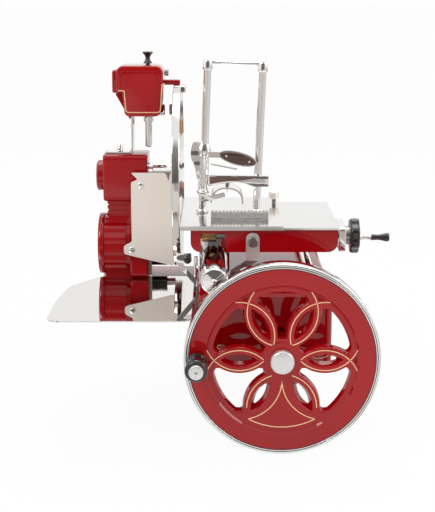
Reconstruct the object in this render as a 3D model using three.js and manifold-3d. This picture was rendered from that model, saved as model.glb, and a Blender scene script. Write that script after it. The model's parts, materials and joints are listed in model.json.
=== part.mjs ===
// Hand cranked flywheel meat slicer, in millimetres, +Z up.
// X runs along the knife shaft towards the feed handwheel, Y runs from the operator to the back.
// The origin is the centre of the base's underside. The flywheel hangs in front of the edge
// of the pedestal or counter that the base is bolted to.
import * as THREE from "three";
import { mergeVertices } from "three/addons/utils/BufferGeometryUtils.js";
import Module from "manifold-3d";

const wasm = await Module();
wasm.setup();

// Clearances shared by the whole machine
const gap = 0.3;
const overrun = 2;
const roundSides = 18;
const smallSides = 10;
const wheelSides = 40;
const threadSides = 6;
const guardSteps = 20;

// Base casting
const baseWidth = 237;
const baseDepth = 480;
const baseHeight = 135;
const baseWall = 9;
const baseCorner = 16;
const baseEdge = 5;
const baseWebThick = 14;
const gearWebThick = 12;
const shaftBossRadius = 24;
const windowWidth = 34;
const windowHeight = 9;
const windowRise = 6;
const archWidth = 150;
const archRise = 12;

// Column arm of the base
const armReach = 190;
const armFront = -26;
const armBack = 100;
const armBottom = 15;
const armTop = 110;
const armCorner = 10;

// Knife
const knifeRadius = 159.5;
const knifeThick = 4.5;
const knifeEdgeThick = 0.6;
const knifeBevel = 13;
const knifeFaceX = -152;
const knifeAxisZ = 309;
const knifeShaftRadius = 13;
const knifeFlangeRadius = 42;
const knifeFlangeThick = 8;

// Guard ring round the knife
const guardOuter = 172;
const guardInner = 162;
const guardThick = 14;
const knifeEdgeGap = 2;
const guardOpenFrom = -22;
const guardOpenTo = 52;
const hoodWidth = 56;
const hoodHeight = 30;
const hoodWall = 4;
const hoodReach = 9;
const hoodLift = 7.7;

// Knife column
const columnLeft = -299;
const columnRight = -215;
const columnDepth = 80;
const columnBoxHeight = 89;
const columnCorner = 9;
const drumRadius = 58.4;
const drumAxisZ = 177;
const drumLength = 41;
const drumFlutes = 16;
const fluteDepth = 2.4;
const drumBandLength = 9;
const drumBandRadius = 55;
const coverThick = 11;
const coverEdge = 3;
const shaftBossLength = 14;
const shaftCapRadius = 29;
const blockWidth = 34;
const blockFront = -51;
const neckWidth = 62;
const neckRib = 2.2;
const neckRibs = 3;
const footWidth = 84;
const footBack = 60;
const collarRadius = 21;
const collarLength = 8;
const housingRadius = 24;

// Slice deflector and slice tray
const sheetThick = 2;
const deflectorStandoff = 5;
const deflectorTop = 323;
const deflectorBottomRight = 146;
const deflectorBottomLeft = 166;
const deflectorRight = -166.5;
const deflectorLeft = -245;
const deflectorLobe = 15;
const deflectorLobeZ = 177;
const deflectorSpike = 8;
const deflectorNotch = 17;
const studRadius = 4;
const studHeadRadius = 6;
const trayTop = 118;
const trayWidth = 242;
const trayDepth = 324;
const trayCorner = 24;
const trayBaseGap = 9.5;
const trayArmGap = 5;
const trayLip = 5;
const trayArmWidth = 20;
const trayArmThick = 7;
const trayArmReach = 120;

// Guide rails
const railRadius = 23.5;
const railInset = 28.9;
const railAxisZ = 167.5;
const railOverhang = 46;
const railCapThick = 5;
const railCapRadius = 22.6;
const railScrewRadius = 4.5;
const supportThick = 24;
const supportWidth = 52;
const outerRailX = 83;
const outerRailZ = 158;
const outerRailRadius = 9;
const outerPostWidth = 18;
const outerPostThick = 16;

// Carriage
const carriageWidth = 264.6;
const carriageFront = -165;
const carriageBack = 100;
const carriageBottom = 194;
const carriageTop = 235.2;
const carriageWall = 7;
const deckThick = 5;
const carriageCorner = 18;
const notchWidth = 44.4;
const coverSheet = 3.8;
const coverReach = 5;
const saddleWidth = 56;
const saddleLength = 110;
const saddleCentreY = -30;
const endHousingWidth = 12;
const endHousingDepth = 94;
const endHousingEdge = 1.5;
const bracketWidth = 24.2;
const bracketThick = 4;
const bracketRailReach = 68.9;
const bracketBottom = 179;
const bracketTop = 230.4;
const bracketScrewRadius = 9.5;
const bracketScrewZ = 213.6;
const leverWidth = 15;
const leverThick = 4;
const leverDrop = 34;
const leverReach = 28;
const rollerRadius = 12;
const rollerWidth = 10;
const rollerPinRadius = 3.5;
const forkThick = 4;

// Feed screw
const screwAxisY = -120;
const screwAxisZ = 216;
const screwRadius = 7;
const threadDepth = 1.2;
const threadPitch = 10;
const screwLeft = -118;
const feedTravel = 105;
const hubRadius = 17;
const hubLength = 10;
const handwheelRadius = 32.6;
const handwheelThick = 17;
const handwheelLobes = 7;
const lobeDepth = 3;
const spinnerOffset = 18;
const spinnerStem = 20;
const spinnerStemRadius = 4;
const spinnerLength = 33;
const spinnerRadius = 8;

// Meat table
const tableSheet = 3.5;
const tableRight = 34;
const tableFrontLip = 4;
const tableBack = 136;
const tableKnifeGap = 1.5;
const tableCorner = 10;
const nutWidth = 26;
const nutRadius = 12;
const stripLeft = -96;
const stripRight = 10;
const stripY = -98;
const stripHeight = 15;
const stripThick = 8;
const stripRibs = 16;
const toothHeight = 3.5;
const stripGroove = 1;
const fenceKnobX = 27;
const fenceKnobY = 62;
const fenceKnobRadius = 10;
const fenceKnobHeight = 15;
const fenceStemHeight = 9;

// Meat press, in a frame that leans a little away from the knife
const pressLean = 2.2;
const postFootX = -112.7;
const postY = -33;
const postRadius = 7;
const postSpacing = 102;
const postHeight = 288;
const postFootRadius = 12;
const postFootHeight = 6;
const topSocketRadius = 9.5;
const topSocketHeight = 20;
const topBarRadius = 2.6;
const sliderRadius = 10;
const sliderBottom = 35.5;
const sliderTop = 130;
const beamTop = 72.5;
const beamEndHeight = 20;
const beamArch = 9.5;
const beamFlange = 3;
const beamDepth = 12;
const beamPocket = 4;
const rightSliderWidth = 28;
const rightSliderHeight = 18;
const rightSliderDepth = 22;
const rightSliderEdge = 1;
const rightSliderLeftShare = 0.3;
const pressPlateLength = 62;
const pressPlateTop = 54;
const pressPlateHeight = 30;
const pressPlateThick = 3;
const pressPlateDepth = 62;
const pressSpikeHeight = 5;
const pressSpikes = 4;
const spikeSides = 8;
const wingScrewRadius = 4;
const clampWidth = 27;
const clampTop = 134;
const clampHeight = 70;
const clampThick = 12;
const tongueY = -38;
const tongueThick = 5;
const tongueLength = 42;
const tongueRise = 18;
const lugBoltRadius = 8;
const gripTiltDegrees = -12;
const gripLength = 69;
const gripHeight = 21;
const gripFrameThick = 6;
const gripFrameRim = 2.4;
const gripScaleThick = 5;
const tangHeight = 11;
const gripCentreX = 62.5;
const gripCentreZ = 107;
const releaseLeverThick = 5;
const releaseLeverHeight = 3;
const releaseDrop = 19;

// Sharpener
const headLeft = -265;
const headRight = -183.5;
const headDepth = 80;
const headTop = 520;
const headStepZ = 472.5;
const headBottom = 430.5;
const headLowerLeft = -250;
const headLowerRight = -190;
const headCorner = 9;
const headEdge = 3;
const wedgeDepth = 14;
const wedgeDrop = 12;
const lugWidth = 9;
const lugHeight = 42;
const lugDepth = 44;
const sharpenerArmHeight = 9.5;
const sharpenerArmDepth = 18;
const sharpenerPlateThick = 5;
const strapWidth = 46;
const strapThick = 3;
const strapX = -242.5;
const strapBend = 9;
const plungerX = -214.5;
const plungerRadius = 4;
const knobRadius = 10;
const knobHeight = 22;
const knobWaist = 4.4;
const sleeveRadius = 6.4;
const sleeveLength = 60;
const sleeveCollar = 9;
const sleeveFlange = 15.5;
const sleeveCollarHeight = 14;
const stoneRadius = 10;
const stoneThick = 7;
const buttonRadius = 6.5;
const buttonLength = 8;

// Flywheel
const wheelAxisX = 26;
const wheelAxisZ = 39.5;
const wheelDepth = 34;
const wheelRailGap = 5;
const tyreOuter = 168;
const tyreThick = 7.5;
const rimBandInner = 132;
const rimInner = 125;
const rimGroove = 3;
const plateDepth = 15;
const plateInset = 2.5;
const petalCount = 6;
const petalCentreRadius = 84.4;
const petalBandOuter = 65;
const petalBandInner = 48.4;
const petalDraft = 2.2;
const windowReach = 120;
const rimRecessRadius = 131;
const recessDepth = 7;
const hubRingRadius = 31;
const hubBack = 12;
const hubCapRadius = 20.5;
const hubCapHeight = 15;
const wheelShaftRadius = 12;
const stayRadius = 9;
const stayCollarRadius = 18;
const stayCollarLength = 32.4;
const stayPlateThick = 5;
const stayPlateHeight = 60;

// Side lever on a post left of the main rail
const sideLeverY = -150;
const sideLeverThick = 4;
const sideLeverReach = 40.5;
const sideLeverTop = 189;
const sideLeverWidth = 9;
const sidePlateWidth = 28;
const sidePlateHeight = 16;
const sideLeverFootGap = 0.5;
const sideLeverFootZ = 125.4;
const sidePostReach = 4.8;
const sidePostRadius = 4.2;
const sidePostLift = 0.2;
const sidePostTop = 181;
const sideKnobReach = 19.5;
const sideKnobZ = 179.5;
const sideKnobRadius = 7.5;
const sideKnobLength = 16;

// Crank grip
const crankRadius = 145.5;
const gripLengthAlong = 54;
const gripBaseRadius = 17.6;
const gripWaistRadius = 12.8;
const gripEndRadius = 19.5;
const gripStart = 7;
const crankPinRadius = 6;
const crankPinFlange = 12;
const crankHeadRadius = 12.5;
const crankHeadHeight = 8;

// Bevel gears
const gearTeeth = 16;
const gearPitchRadius = 34;
const gearAddendum = 1.8;
const gearDedendum = 2.6;
const gearFaceShare = 0.34;
const toothWidthShare = 0.54;
const toothTipShare = 0.2;
const crossShaftRadius = 10;
const bushWall = 5;
const gearHubLength = 12;
const gearHubRadius = 18;

// Places that follow from the sizes above
const halfWidth = baseWidth / 2;
const halfDepth = baseDepth / 2;
const railAxisX = -halfWidth + railInset;
const bracketX = railAxisX + bracketRailReach;
const wheelFaceY = -halfDepth - railOverhang - wheelRailGap - wheelDepth;
const trayRight = -halfWidth - trayBaseGap;
const trayBack = armFront - trayArmGap;
const sideLeverLeft = -halfWidth - sideLeverReach;
const sideLeverFootX = -halfWidth - sideLeverFootGap;
const sidePostX = -halfWidth - sidePostReach;
const sidePostBottom = trayTop - sheetThick + sidePostLift;
const sideKnobX = -halfWidth - sideKnobReach;
const tableLeft = knifeFaceX + tableKnifeGap;
const coverBottom = carriageTop + gap;
const coverTop = coverBottom + coverSheet;
const tableBottom = coverTop + gap;
const tableTop = tableBottom + tableSheet;
const columnTop = knifeAxisZ + columnBoxHeight / 2 - 1.5 * gap;
const columnBoxBottom = columnTop - columnBoxHeight;
const gearApexY = wheelShaftEndY() + gearPitchRadius * gearFaceShare;

function wheelShaftEndY() {
  return baseWebThick / 2 + gearHubLength + gearPitchRadius;
}

// Finishes
function finish(colour, roughness, metalness) {
  return new THREE.MeshStandardMaterial({ color: colour, roughness, metalness });
}
const redPaint = finish(0xa81218, 0.25, 0.1);
const chrome = finish(0xd8d8da, 0.08, 1);
const polishedSteel = finish(0xdedede, 0.18, 1);
const darkSteel = finish(0x6b6764, 0.3, 1);
const blackPlastic = finish(0x17120f, 0.25, 0);
const brownWood = finish(0x35201a, 0.4, 0);
const bronze = finish(0xa87a3a, 0.35, 1);
const stoneGrey = finish(0x7d7a76, 0.9, 0);

// Closed solids: every shape is a geometry, and joins and cuts pass through a solid
function toSolid(geometry) {
  const bare = geometry.clone();
  bare.deleteAttribute("normal");
  bare.deleteAttribute("uv");
  const merged = mergeVertices(bare, 1e-4);
  return new wasm.Manifold(
    new wasm.Mesh({
      numProp: 3,
      vertProperties: merged.attributes.position.array,
      triVerts: new Uint32Array(merged.index.array),
    }),
  );
}

function toGeometry(solid) {
  const mesh = solid.getMesh();
  const geometry = new THREE.BufferGeometry();
  geometry.setAttribute("position", new THREE.BufferAttribute(mesh.vertProperties, 3));
  geometry.setIndex(new THREE.BufferAttribute(mesh.triVerts, 1));
  return geometry;
}

function join(first, ...others) {
  return toGeometry(others.reduce((sum, other) => sum.add(toSolid(other)), toSolid(first)));
}

function cut(first, ...others) {
  return toGeometry(others.reduce((rest, other) => rest.subtract(toSolid(other)), toSolid(first)));
}

function common(first, second) {
  return toGeometry(toSolid(first).intersect(toSolid(second)));
}

const axisBasis = {
  x: new THREE.Matrix4().makeBasis(
    new THREE.Vector3(0, 1, 0),
    new THREE.Vector3(0, 0, 1),
    new THREE.Vector3(1, 0, 0),
  ),
  y: new THREE.Matrix4().makeBasis(
    new THREE.Vector3(0, 0, 1),
    new THREE.Vector3(1, 0, 0),
    new THREE.Vector3(0, 1, 0),
  ),
  z: new THREE.Matrix4(),
};

// Turns a shape made along Z to lie along an axis; its two cross directions follow in the
// order Y Z for x, Z X for y, X Y for z.
function along(axis, geometry, first = 0, second = 0, start = 0) {
  return geometry.translate(first, second, start).applyMatrix4(axisBasis[axis]);
}

function block(left, right, front, back, bottom, top) {
  return new THREE.BoxGeometry(right - left, back - front, top - bottom).translate(
    (left + right) / 2,
    (front + back) / 2,
    (bottom + top) / 2,
  );
}

function cone(axis, startRadius, endRadius, start, end, first = 0, second = 0, sides = roundSides) {
  const shape = new THREE.CylinderGeometry(endRadius, startRadius, end - start, sides);
  shape.rotateX(Math.PI / 2).translate(0, 0, (end - start) / 2);
  return along(axis, shape, first, second, start);
}

function rod(axis, radius, start, end, first = 0, second = 0, sides = roundSides) {
  return cone(axis, radius, radius, start, end, first, second, sides);
}

function tube(axis, outer, inner, start, end, first = 0, second = 0, sides = roundSides) {
  return cut(
    rod(axis, outer, start, end, first, second, sides),
    rod(axis, inner, start - overrun, end + overrun, first, second, sides),
  );
}

// A turned piece: the profile lists radius and height from the bottom centre up to the top centre
function turned(axis, profile, first = 0, second = 0, start = 0, sides = roundSides) {
  const points = profile.map(([radius, height]) => new THREE.Vector2(radius, height));
  const shape = new THREE.LatheGeometry(points, sides);
  return along(axis, shape.rotateX(Math.PI / 2), first, second, start);
}

// A ring with a free section: the profile is a closed loop
function ring(axis, profile, first = 0, second = 0, start = 0, sides = roundSides) {
  return turned(axis, [...profile, profile[0]], first, second, start, sides);
}

function extruded(axis, shape, start, end, bevel = 0, steps = 3) {
  const options = {
    depth: end - start - 2 * bevel,
    bevelEnabled: bevel > 0,
    bevelThickness: bevel,
    bevelSize: bevel,
    bevelOffset: -bevel,
    bevelSegments: 1,
    curveSegments: steps,
  };
  const geometry = new THREE.ExtrudeGeometry(shape, options).translate(0, 0, bevel);
  return along(axis, geometry, 0, 0, start);
}

// A plate drawn as it is seen from the operator's side; it reaches forward from its back
function frontShape(shape, thick, back, steps = 3) {
  const options = { depth: thick, bevelEnabled: false, curveSegments: steps };
  return new THREE.ExtrudeGeometry(shape, options).rotateX(Math.PI / 2).translate(0, back, 0);
}

// A rectangle with round corners, given by its low and high corner
function roundedShape(left, low, right, high, radius) {
  const shape = new THREE.Shape();
  shape.moveTo(left + radius, low);
  shape.lineTo(right - radius, low);
  shape.absarc(right - radius, low + radius, radius, -Math.PI / 2, 0);
  shape.lineTo(right, high - radius);
  shape.absarc(right - radius, high - radius, radius, 0, Math.PI / 2);
  shape.lineTo(left + radius, high);
  shape.absarc(left + radius, high - radius, radius, Math.PI / 2, Math.PI);
  shape.lineTo(left, low + radius);
  shape.absarc(left + radius, low + radius, radius, Math.PI, 1.5 * Math.PI);
  return shape;
}

// A straight-sided outline whose corners are rounded off with one radius
function softOutline(corners, radius) {
  const shape = new THREE.Shape();
  const points = corners.map(([x, y]) => new THREE.Vector2(x, y));
  points.forEach((corner, i) => {
    const before = points[(i + points.length - 1) % points.length];
    const after = points[(i + 1) % points.length];
    const reach = Math.min(radius, corner.distanceTo(before) / 2.2, corner.distanceTo(after) / 2.2);
    const into = corner.clone().add(before.clone().sub(corner).setLength(reach));
    const out = corner.clone().add(after.clone().sub(corner).setLength(reach));
    if (i === 0) {
      shape.moveTo(into.x, into.y);
    } else {
      shape.lineTo(into.x, into.y);
    }
    shape.quadraticCurveTo(corner.x, corner.y, out.x, out.y);
  });
  shape.closePath();
  return shape;
}

const slicer = new THREE.Group();

function addPiece(group, name, geometry, material) {
  const flat = geometry.index ? geometry.toNonIndexed() : geometry;
  flat.computeVertexNormals();
  const mesh = new THREE.Mesh(flat, material);
  mesh.name = name;
  group.add(mesh);
  return mesh;
}

// Base: an open-bottomed casting with two cross webs, a boss for the flywheel shaft and an arm
// that carries the knife column
function makeBase() {
  const floor = -overrun;
  const outline = roundedShape(-halfWidth, -halfDepth, halfWidth, halfDepth, baseCorner);
  const body = extruded("z", outline, -baseEdge, baseHeight, baseEdge);
  const arm = extruded(
    "x",
    roundedShape(armFront, armBottom, armBack, armTop, armCorner),
    -halfWidth - armReach,
    -halfWidth + baseWall,
    baseEdge,
  );
  const hollow = block(
    -halfWidth + baseWall,
    halfWidth - baseWall,
    -halfDepth + baseWall,
    halfDepth - baseWall,
    floor,
    baseHeight - baseWall,
  );
  const armHollow = block(
    -halfWidth - armReach + baseWall,
    -halfWidth,
    armFront + baseWall,
    armBack - baseWall,
    armBottom - overrun,
    armTop - baseWall,
  );
  const webEnd = halfWidth - baseWall / 2;
  const webTop = baseHeight - baseWall / 2;
  const web = block(-webEnd, webEnd, -baseWebThick / 2, baseWebThick / 2, 0, webTop);
  const gearWebX = gearWebLeft();
  const gearWebEnd = halfDepth - baseWall / 2;
  const gearWeb = block(gearWebX, gearWebX + gearWebThick, 0, gearWebEnd, 0, webTop);
  const boss = rod("y", shaftBossRadius, -halfDepth, -halfDepth + 3 * baseWall, wheelAxisZ, wheelAxisX);
  const arch = new THREE.Shape();
  arch.moveTo(-archWidth / 2, floor);
  arch.lineTo(archWidth / 2, floor);
  arch.quadraticCurveTo(0, 2 * archRise, -archWidth / 2, floor);
  const archCut = along(
    "x",
    new THREE.ExtrudeGeometry(arch, { depth: 2 * baseWidth, bevelEnabled: false, curveSegments: 8 }),
    0,
    0,
    -baseWidth,
  );
  const bore = wheelShaftRadius + bushWall + gap;
  const crossBore = crossShaftRadius + gap;
  const windowShape = new THREE.Shape();
  windowShape.moveTo(-windowWidth / 2, 0);
  windowShape.quadraticCurveTo(0, windowRise, windowWidth / 2, 0);
  windowShape.quadraticCurveTo(windowWidth / 2, windowHeight, 0, windowHeight + windowRise / 2);
  windowShape.quadraticCurveTo(-windowWidth / 2, windowHeight, -windowWidth / 2, 0);
  const windowBottom = wheelAxisZ + shaftBossRadius + gap;
  const windowCut = frontShape(windowShape, 2 * baseWall, -halfDepth + 1.5 * baseWall, 4);
  windowCut.translate(wheelAxisX, 0, windowBottom);
  const arched = cut(join(body, arm), hollow, armHollow, archCut);
  const shell = cut(join(arched, web, gearWeb, boss, ...railSeats()), windowCut);
  const skirt = block(-baseWidth, baseWidth, -baseDepth, baseDepth, -baseDepth, 0);
  const casting = cut(
    shell,
    skirt,
    rod("y", bore, -halfDepth - overrun, -halfDepth + 3 * baseWall + overrun, wheelAxisZ, wheelAxisX),
    rod("y", bore, -baseWebThick, baseWebThick, wheelAxisZ, wheelAxisX),
    rod("x", crossBore, crossShaftLeft() - gap, -halfWidth + 2 * baseWall, gearApexY, wheelAxisZ),
    rod("x", crossBore, gearWebX - overrun, gearWebX + gearWebThick + overrun, gearApexY, wheelAxisZ),
    rod("y", railRadius + gap, -baseDepth, baseDepth, railAxisZ, railAxisX),
    rod("y", outerRailRadius + gap, -baseDepth, baseDepth, outerRailZ, outerRailX, smallSides),
  );
  addPiece(slicer, "base_casting", casting, redPaint);
  const bushOuter = wheelShaftRadius + bushWall;
  const bushInner = wheelShaftRadius + gap;
  const frontBush = tube(
    "y",
    bushOuter,
    bushInner,
    -halfDepth - baseWall / 3,
    -halfDepth + 3 * baseWall,
    wheelAxisZ,
    wheelAxisX,
  );
  addPiece(slicer, "front_shaft_bush", frontBush, bronze);
  const halfWeb = baseWebThick / 2;
  const rearBush = tube("y", bushOuter, bushInner, -halfWeb, halfWeb, wheelAxisZ, wheelAxisX);
  addPiece(slicer, "rear_shaft_bush", rearBush, bronze);
}

function gearWebLeft() {
  return wheelAxisX - gearPitchRadius - gearHubLength - gearWebThick - 2 * gap;
}

function crossShaftLeft() {
  return columnRight - footWidth / 2;
}

// Seats of both guide rails, cast on the base's top at its front and back
function railSeats() {
  const foot = baseHeight - overrun;
  const seat = new THREE.Shape();
  seat.moveTo(-supportWidth / 2, foot);
  seat.lineTo(supportWidth / 2, foot);
  seat.lineTo(railRadius, railAxisZ);
  seat.lineTo(-railRadius, railAxisZ);
  seat.closePath();
  const mainSeat = (y) => frontShape(seat, supportThick, y + supportThick).translate(railAxisX, 0, 0);
  const halfPost = outerPostWidth / 2;
  const outerSeat = (y) =>
    block(outerRailX - halfPost, outerRailX + halfPost, y, y + outerPostThick, foot, outerRailZ);
  return [
    mainSeat(-halfDepth + baseEdge),
    mainSeat(halfDepth - baseEdge - supportThick),
    outerSeat(-halfDepth + baseCorner),
    outerSeat(halfDepth - baseCorner - outerPostThick),
  ];
}

// Guide rails on the base; the main rail ends in a turned cap with a screw
function makeRails() {
  const length = baseDepth + 2 * railOverhang;
  const profile = [
    [0, 0],
    [railScrewRadius, 0],
    [railScrewRadius, railCapThick / 2],
    [railCapRadius - railCapThick / 3, railCapThick / 2],
    [railCapRadius, railCapThick],
    [railCapRadius, railCapThick * 1.7],
    [railRadius, railCapThick * 1.7],
    [railRadius, length],
    [0, length],
  ];
  const rail = turned("y", profile, railAxisZ, railAxisX, -length / 2);
  addPiece(slicer, "main_guide_rail", rail, chrome);
  const outerEnd = halfDepth - baseCorner;
  const outerRail = rod("y", outerRailRadius, -outerEnd, outerEnd, outerRailZ, outerRailX, smallSides);
  addPiece(slicer, "outer_guide_rail", outerRail, chrome);
}

// Knife column: one casting from the foot on the base's arm up to the knife shaft's box
function makeColumn() {
  const middleX = (columnLeft + columnRight) / 2;
  const halfColumn = columnDepth / 2;
  const boxShape = roundedShape(-halfColumn, columnBoxBottom, halfColumn, columnTop, columnCorner);
  const box = extruded("x", boxShape, columnLeft, columnRight, baseEdge / 2);
  const neckFront = -neckWidth / 2;
  const neckLeft = columnLeft + columnCorner;
  const neckRight = columnRight;
  const neckTop = columnBoxBottom + overrun;
  let casting = join(box, block(neckLeft, neckRight, neckFront, -neckFront, drumAxisZ, neckTop));
  const ribPitch = (columnBoxBottom - drumAxisZ - drumRadius) / neckRibs;
  for (let i = 0; i < neckRibs; i += 1) {
    const z = drumAxisZ + drumRadius + ribPitch * (i + 0.5);
    const ribFront = neckFront - neckRib;
    const rib = block(neckLeft - neckRib, neckRight, ribFront, -ribFront, z, z + ribPitch / 2);
    casting = join(casting, rib);
  }
  const drum = new THREE.Shape();
  const steps = drumFlutes * 4;
  for (let i = 0; i < steps; i += 1) {
    const turn = (2 * Math.PI * i) / steps;
    const radius = drumRadius - (i % 4 < 2 ? 0 : fluteDepth);
    const point = [radius * Math.cos(turn), drumAxisZ + radius * Math.sin(turn)];
    if (i === 0) {
      drum.moveTo(...point);
    } else {
      drum.lineTo(...point);
    }
  }
  drum.closePath();
  const drumStart = columnLeft + gap;
  const drumEnd = drumStart + drumLength;
  const band = rod("x", drumBandRadius, drumEnd - overrun, drumEnd + drumBandLength, 0, drumAxisZ);
  const lowerBlock = extruded(
    "x",
    roundedShape(blockFront, trayTop + gap + sheetThick, -blockFront, neckTop, columnCorner),
    columnRight - blockWidth,
    columnRight,
    baseEdge / 2,
  );
  const foot = block(columnRight - footWidth, columnRight, armFront, footBack, armTop + gap, drumAxisZ);
  const capProfile = [
    [0, 0],
    [shaftCapRadius - coverEdge, 0],
    [shaftCapRadius, coverEdge],
    [shaftCapRadius, shaftBossLength + overrun],
    [0, shaftBossLength + overrun],
  ];
  const shaftCap = turned("x", capProfile, 0, knifeAxisZ, columnLeft - shaftBossLength);
  casting = join(casting, extruded("x", drum, drumStart, drumEnd), band, lowerBlock, foot, shaftCap);
  const housingBore = rod("x", knifeShaftRadius + gap, middleX, columnRight + overrun, 0, knifeAxisZ);
  addPiece(slicer, "knife_column", cut(casting, housingBore), redPaint);
  const coverProfile = [
    [0, 0],
    [drumRadius - coverEdge, 0],
    [drumRadius, coverEdge],
    [drumRadius, coverThick],
    [0, coverThick],
  ];
  const coverX = columnLeft - gap - coverThick;
  addPiece(slicer, "drive_case_cover", turned("x", coverProfile, 0, drumAxisZ, coverX), redPaint);
  const housingProfile = [
    [knifeShaftRadius + gap, 0],
    [collarRadius, 0],
    [collarRadius, collarLength],
    [housingRadius, collarLength],
    [housingRadius, housingLength()],
    [knifeShaftRadius + gap, housingLength()],
  ];
  const housing = ring("x", housingProfile, 0, knifeAxisZ, columnRight + gap);
  addPiece(slicer, "knife_shaft_housing", housing, chrome);
}

function housingLength() {
  return knifeBackX() - knifeFlangeThick - 2 * overrun - columnRight - gap;
}

function knifeBackX() {
  return knifeFaceX - knifeThick;
}

// Knife, turned about its shaft, flat towards the meat and ground to an edge on the other side
function makeKnife() {
  const profile = [
    [0, -knifeThick],
    [knifeRadius - knifeBevel, -knifeThick],
    [knifeRadius, -knifeEdgeThick],
    [knifeRadius, 0],
    [0, 0],
  ];
  const blade = turned("x", profile, 0, knifeAxisZ, knifeFaceX, wheelSides);
  addPiece(slicer, "knife_blade", blade, polishedSteel);
  const flangeEnd = knifeBackX() - gap;
  const flange = rod("x", knifeFlangeRadius, flangeEnd - knifeFlangeThick, flangeEnd, 0, knifeAxisZ);
  const shaftStart = (columnLeft + columnRight) / 2 + gap;
  const shaftEnd = flangeEnd - knifeFlangeThick / 2;
  const shaft = rod("x", knifeShaftRadius - gap, shaftStart, shaftEnd, 0, knifeAxisZ);
  addPiece(slicer, "knife_shaft", join(flange, shaft), darkSteel);
}

// Guard ring round the knife's edge, open where the slice leaves, with a hood over the top
function makeGuard() {
  const from = THREE.MathUtils.degToRad(guardOpenTo);
  const to = THREE.MathUtils.degToRad(360 + guardOpenFrom);
  const shape = new THREE.Shape();
  shape.absarc(0, knifeAxisZ, guardOuter, from, to, false);
  shape.absarc(0, knifeAxisZ, guardInner, to, from, true);
  shape.closePath();
  const guardRight = knifeFaceX;
  const guardLeft = guardRight - guardThick;
  const band = extruded("x", shape, guardLeft, guardRight, 0, guardSteps);
  const hoodTop = hoodTopZ();
  const hoodRight = knifeFaceX + hoodReach;
  const hood = extruded(
    "x",
    roundedShape(-hoodWidth / 2, hoodTop - hoodHeight - hoodWall, hoodWidth / 2, hoodTop, hoodWall),
    guardLeft,
    hoodRight,
    hoodWall / 2,
  );
  const aboveTop = hoodTop + guardOuter;
  const above = block(guardLeft - overrun, hoodRight, -guardOuter, guardOuter, hoodTop, aboveTop);
  const slotRadius = knifeRadius + knifeEdgeGap;
  const slot = rod("x", slotRadius, guardLeft - overrun, hoodRight + overrun, 0, knifeAxisZ, wheelSides);
  addPiece(slicer, "knife_guard", cut(join(band, hood), slot, above), chrome);
  const ringMiddle = (guardOuter + guardInner) / 2;
  const stayTop = knifeAxisZ - Math.sqrt(ringMiddle ** 2 - stayDropY() ** 2);
  const stayStart = columnRight + gap;
  const stayEnd = guardLeft - gap;
  const collarEnd = stayStart + stayCollarLength;
  const plateEnd = stayStart + stayPlateThick;
  const stayPlate = cut(
    block(stayStart, plateEnd, armFront, footBack, armTop + 2 * gap, armTop + stayPlateHeight),
    rod("x", stayCollarRadius + gap, columnRight, collarEnd, stayDropY(), stayTop),
  );
  addPiece(slicer, "guard_stay_plate", stayPlate, chrome);
  const collar = tube("x", stayCollarRadius, stayRadius + gap, stayStart, collarEnd, stayDropY(), stayTop);
  addPiece(slicer, "guard_stay_collar", collar, blackPlastic);
  const stay = rod("x", stayRadius, stayStart, stayEnd, stayDropY(), stayTop, smallSides);
  addPiece(slicer, "guard_stay", stay, chrome);
}

// The side lever: a bright post on the base's left wall, a dark lever and its black knob
function makeSideLever() {
  const postY = sideLeverY + sideLeverThick / 2 + sidePostRadius + gap;
  const postFoot = block(
    sidePostX - sidePostRadius,
    -halfWidth - gap,
    postY - sidePostRadius,
    postY + sidePostRadius,
    sidePostBottom,
    sidePostBottom + 3 * sidePostRadius,
  );
  const post = rod("z", sidePostRadius, sidePostBottom, sidePostTop, sidePostX, postY, smallSides);
  addPiece(slicer, "side_lever_post", join(postFoot, post), chrome);
  const plateRight = sideLeverLeft + sidePlateWidth;
  const leverShape = softOutline(
    [
      [sideLeverLeft, sideLeverTop],
      [sideLeverLeft, sideLeverTop - 1.2 * sidePlateHeight],
      [sideLeverFootX - sideLeverWidth / 3, sideLeverFootZ],
      [sideLeverFootX, sideLeverFootZ + sideLeverWidth / 3],
      [sideLeverFootX, sideLeverFootZ + 1.2 * sideLeverWidth],
      [sideLeverLeft + 1.3 * sideLeverWidth, sideLeverTop - 1.2 * sidePlateHeight],
      [plateRight, sideLeverTop - sidePlateHeight],
      [plateRight, sideLeverTop],
    ],
    overrun,
  );
  const leverBack = sideLeverY + sideLeverThick / 2;
  const lever = frontShape(leverShape, sideLeverThick, leverBack, 2);
  addPiece(slicer, "side_lever", lever, darkSteel);
  const knobProfile = [
    [0, 0],
    [sideKnobRadius * 0.8, 0],
    [sideKnobRadius, sideKnobLength * 0.3],
    [sideKnobRadius, sideKnobLength],
    [0, sideKnobLength],
  ];
  const knobFront = leverBack - sideLeverThick - gap - sideKnobLength;
  const knob = turned("y", knobProfile, sideKnobZ, sideKnobX, knobFront, smallSides);
  addPiece(slicer, "side_lever_knob", knob, blackPlastic);
}

function stayDropY() {
  return footBack / 2;
}

function hoodTopZ() {
  return headStepZ + hoodLift;
}

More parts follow.
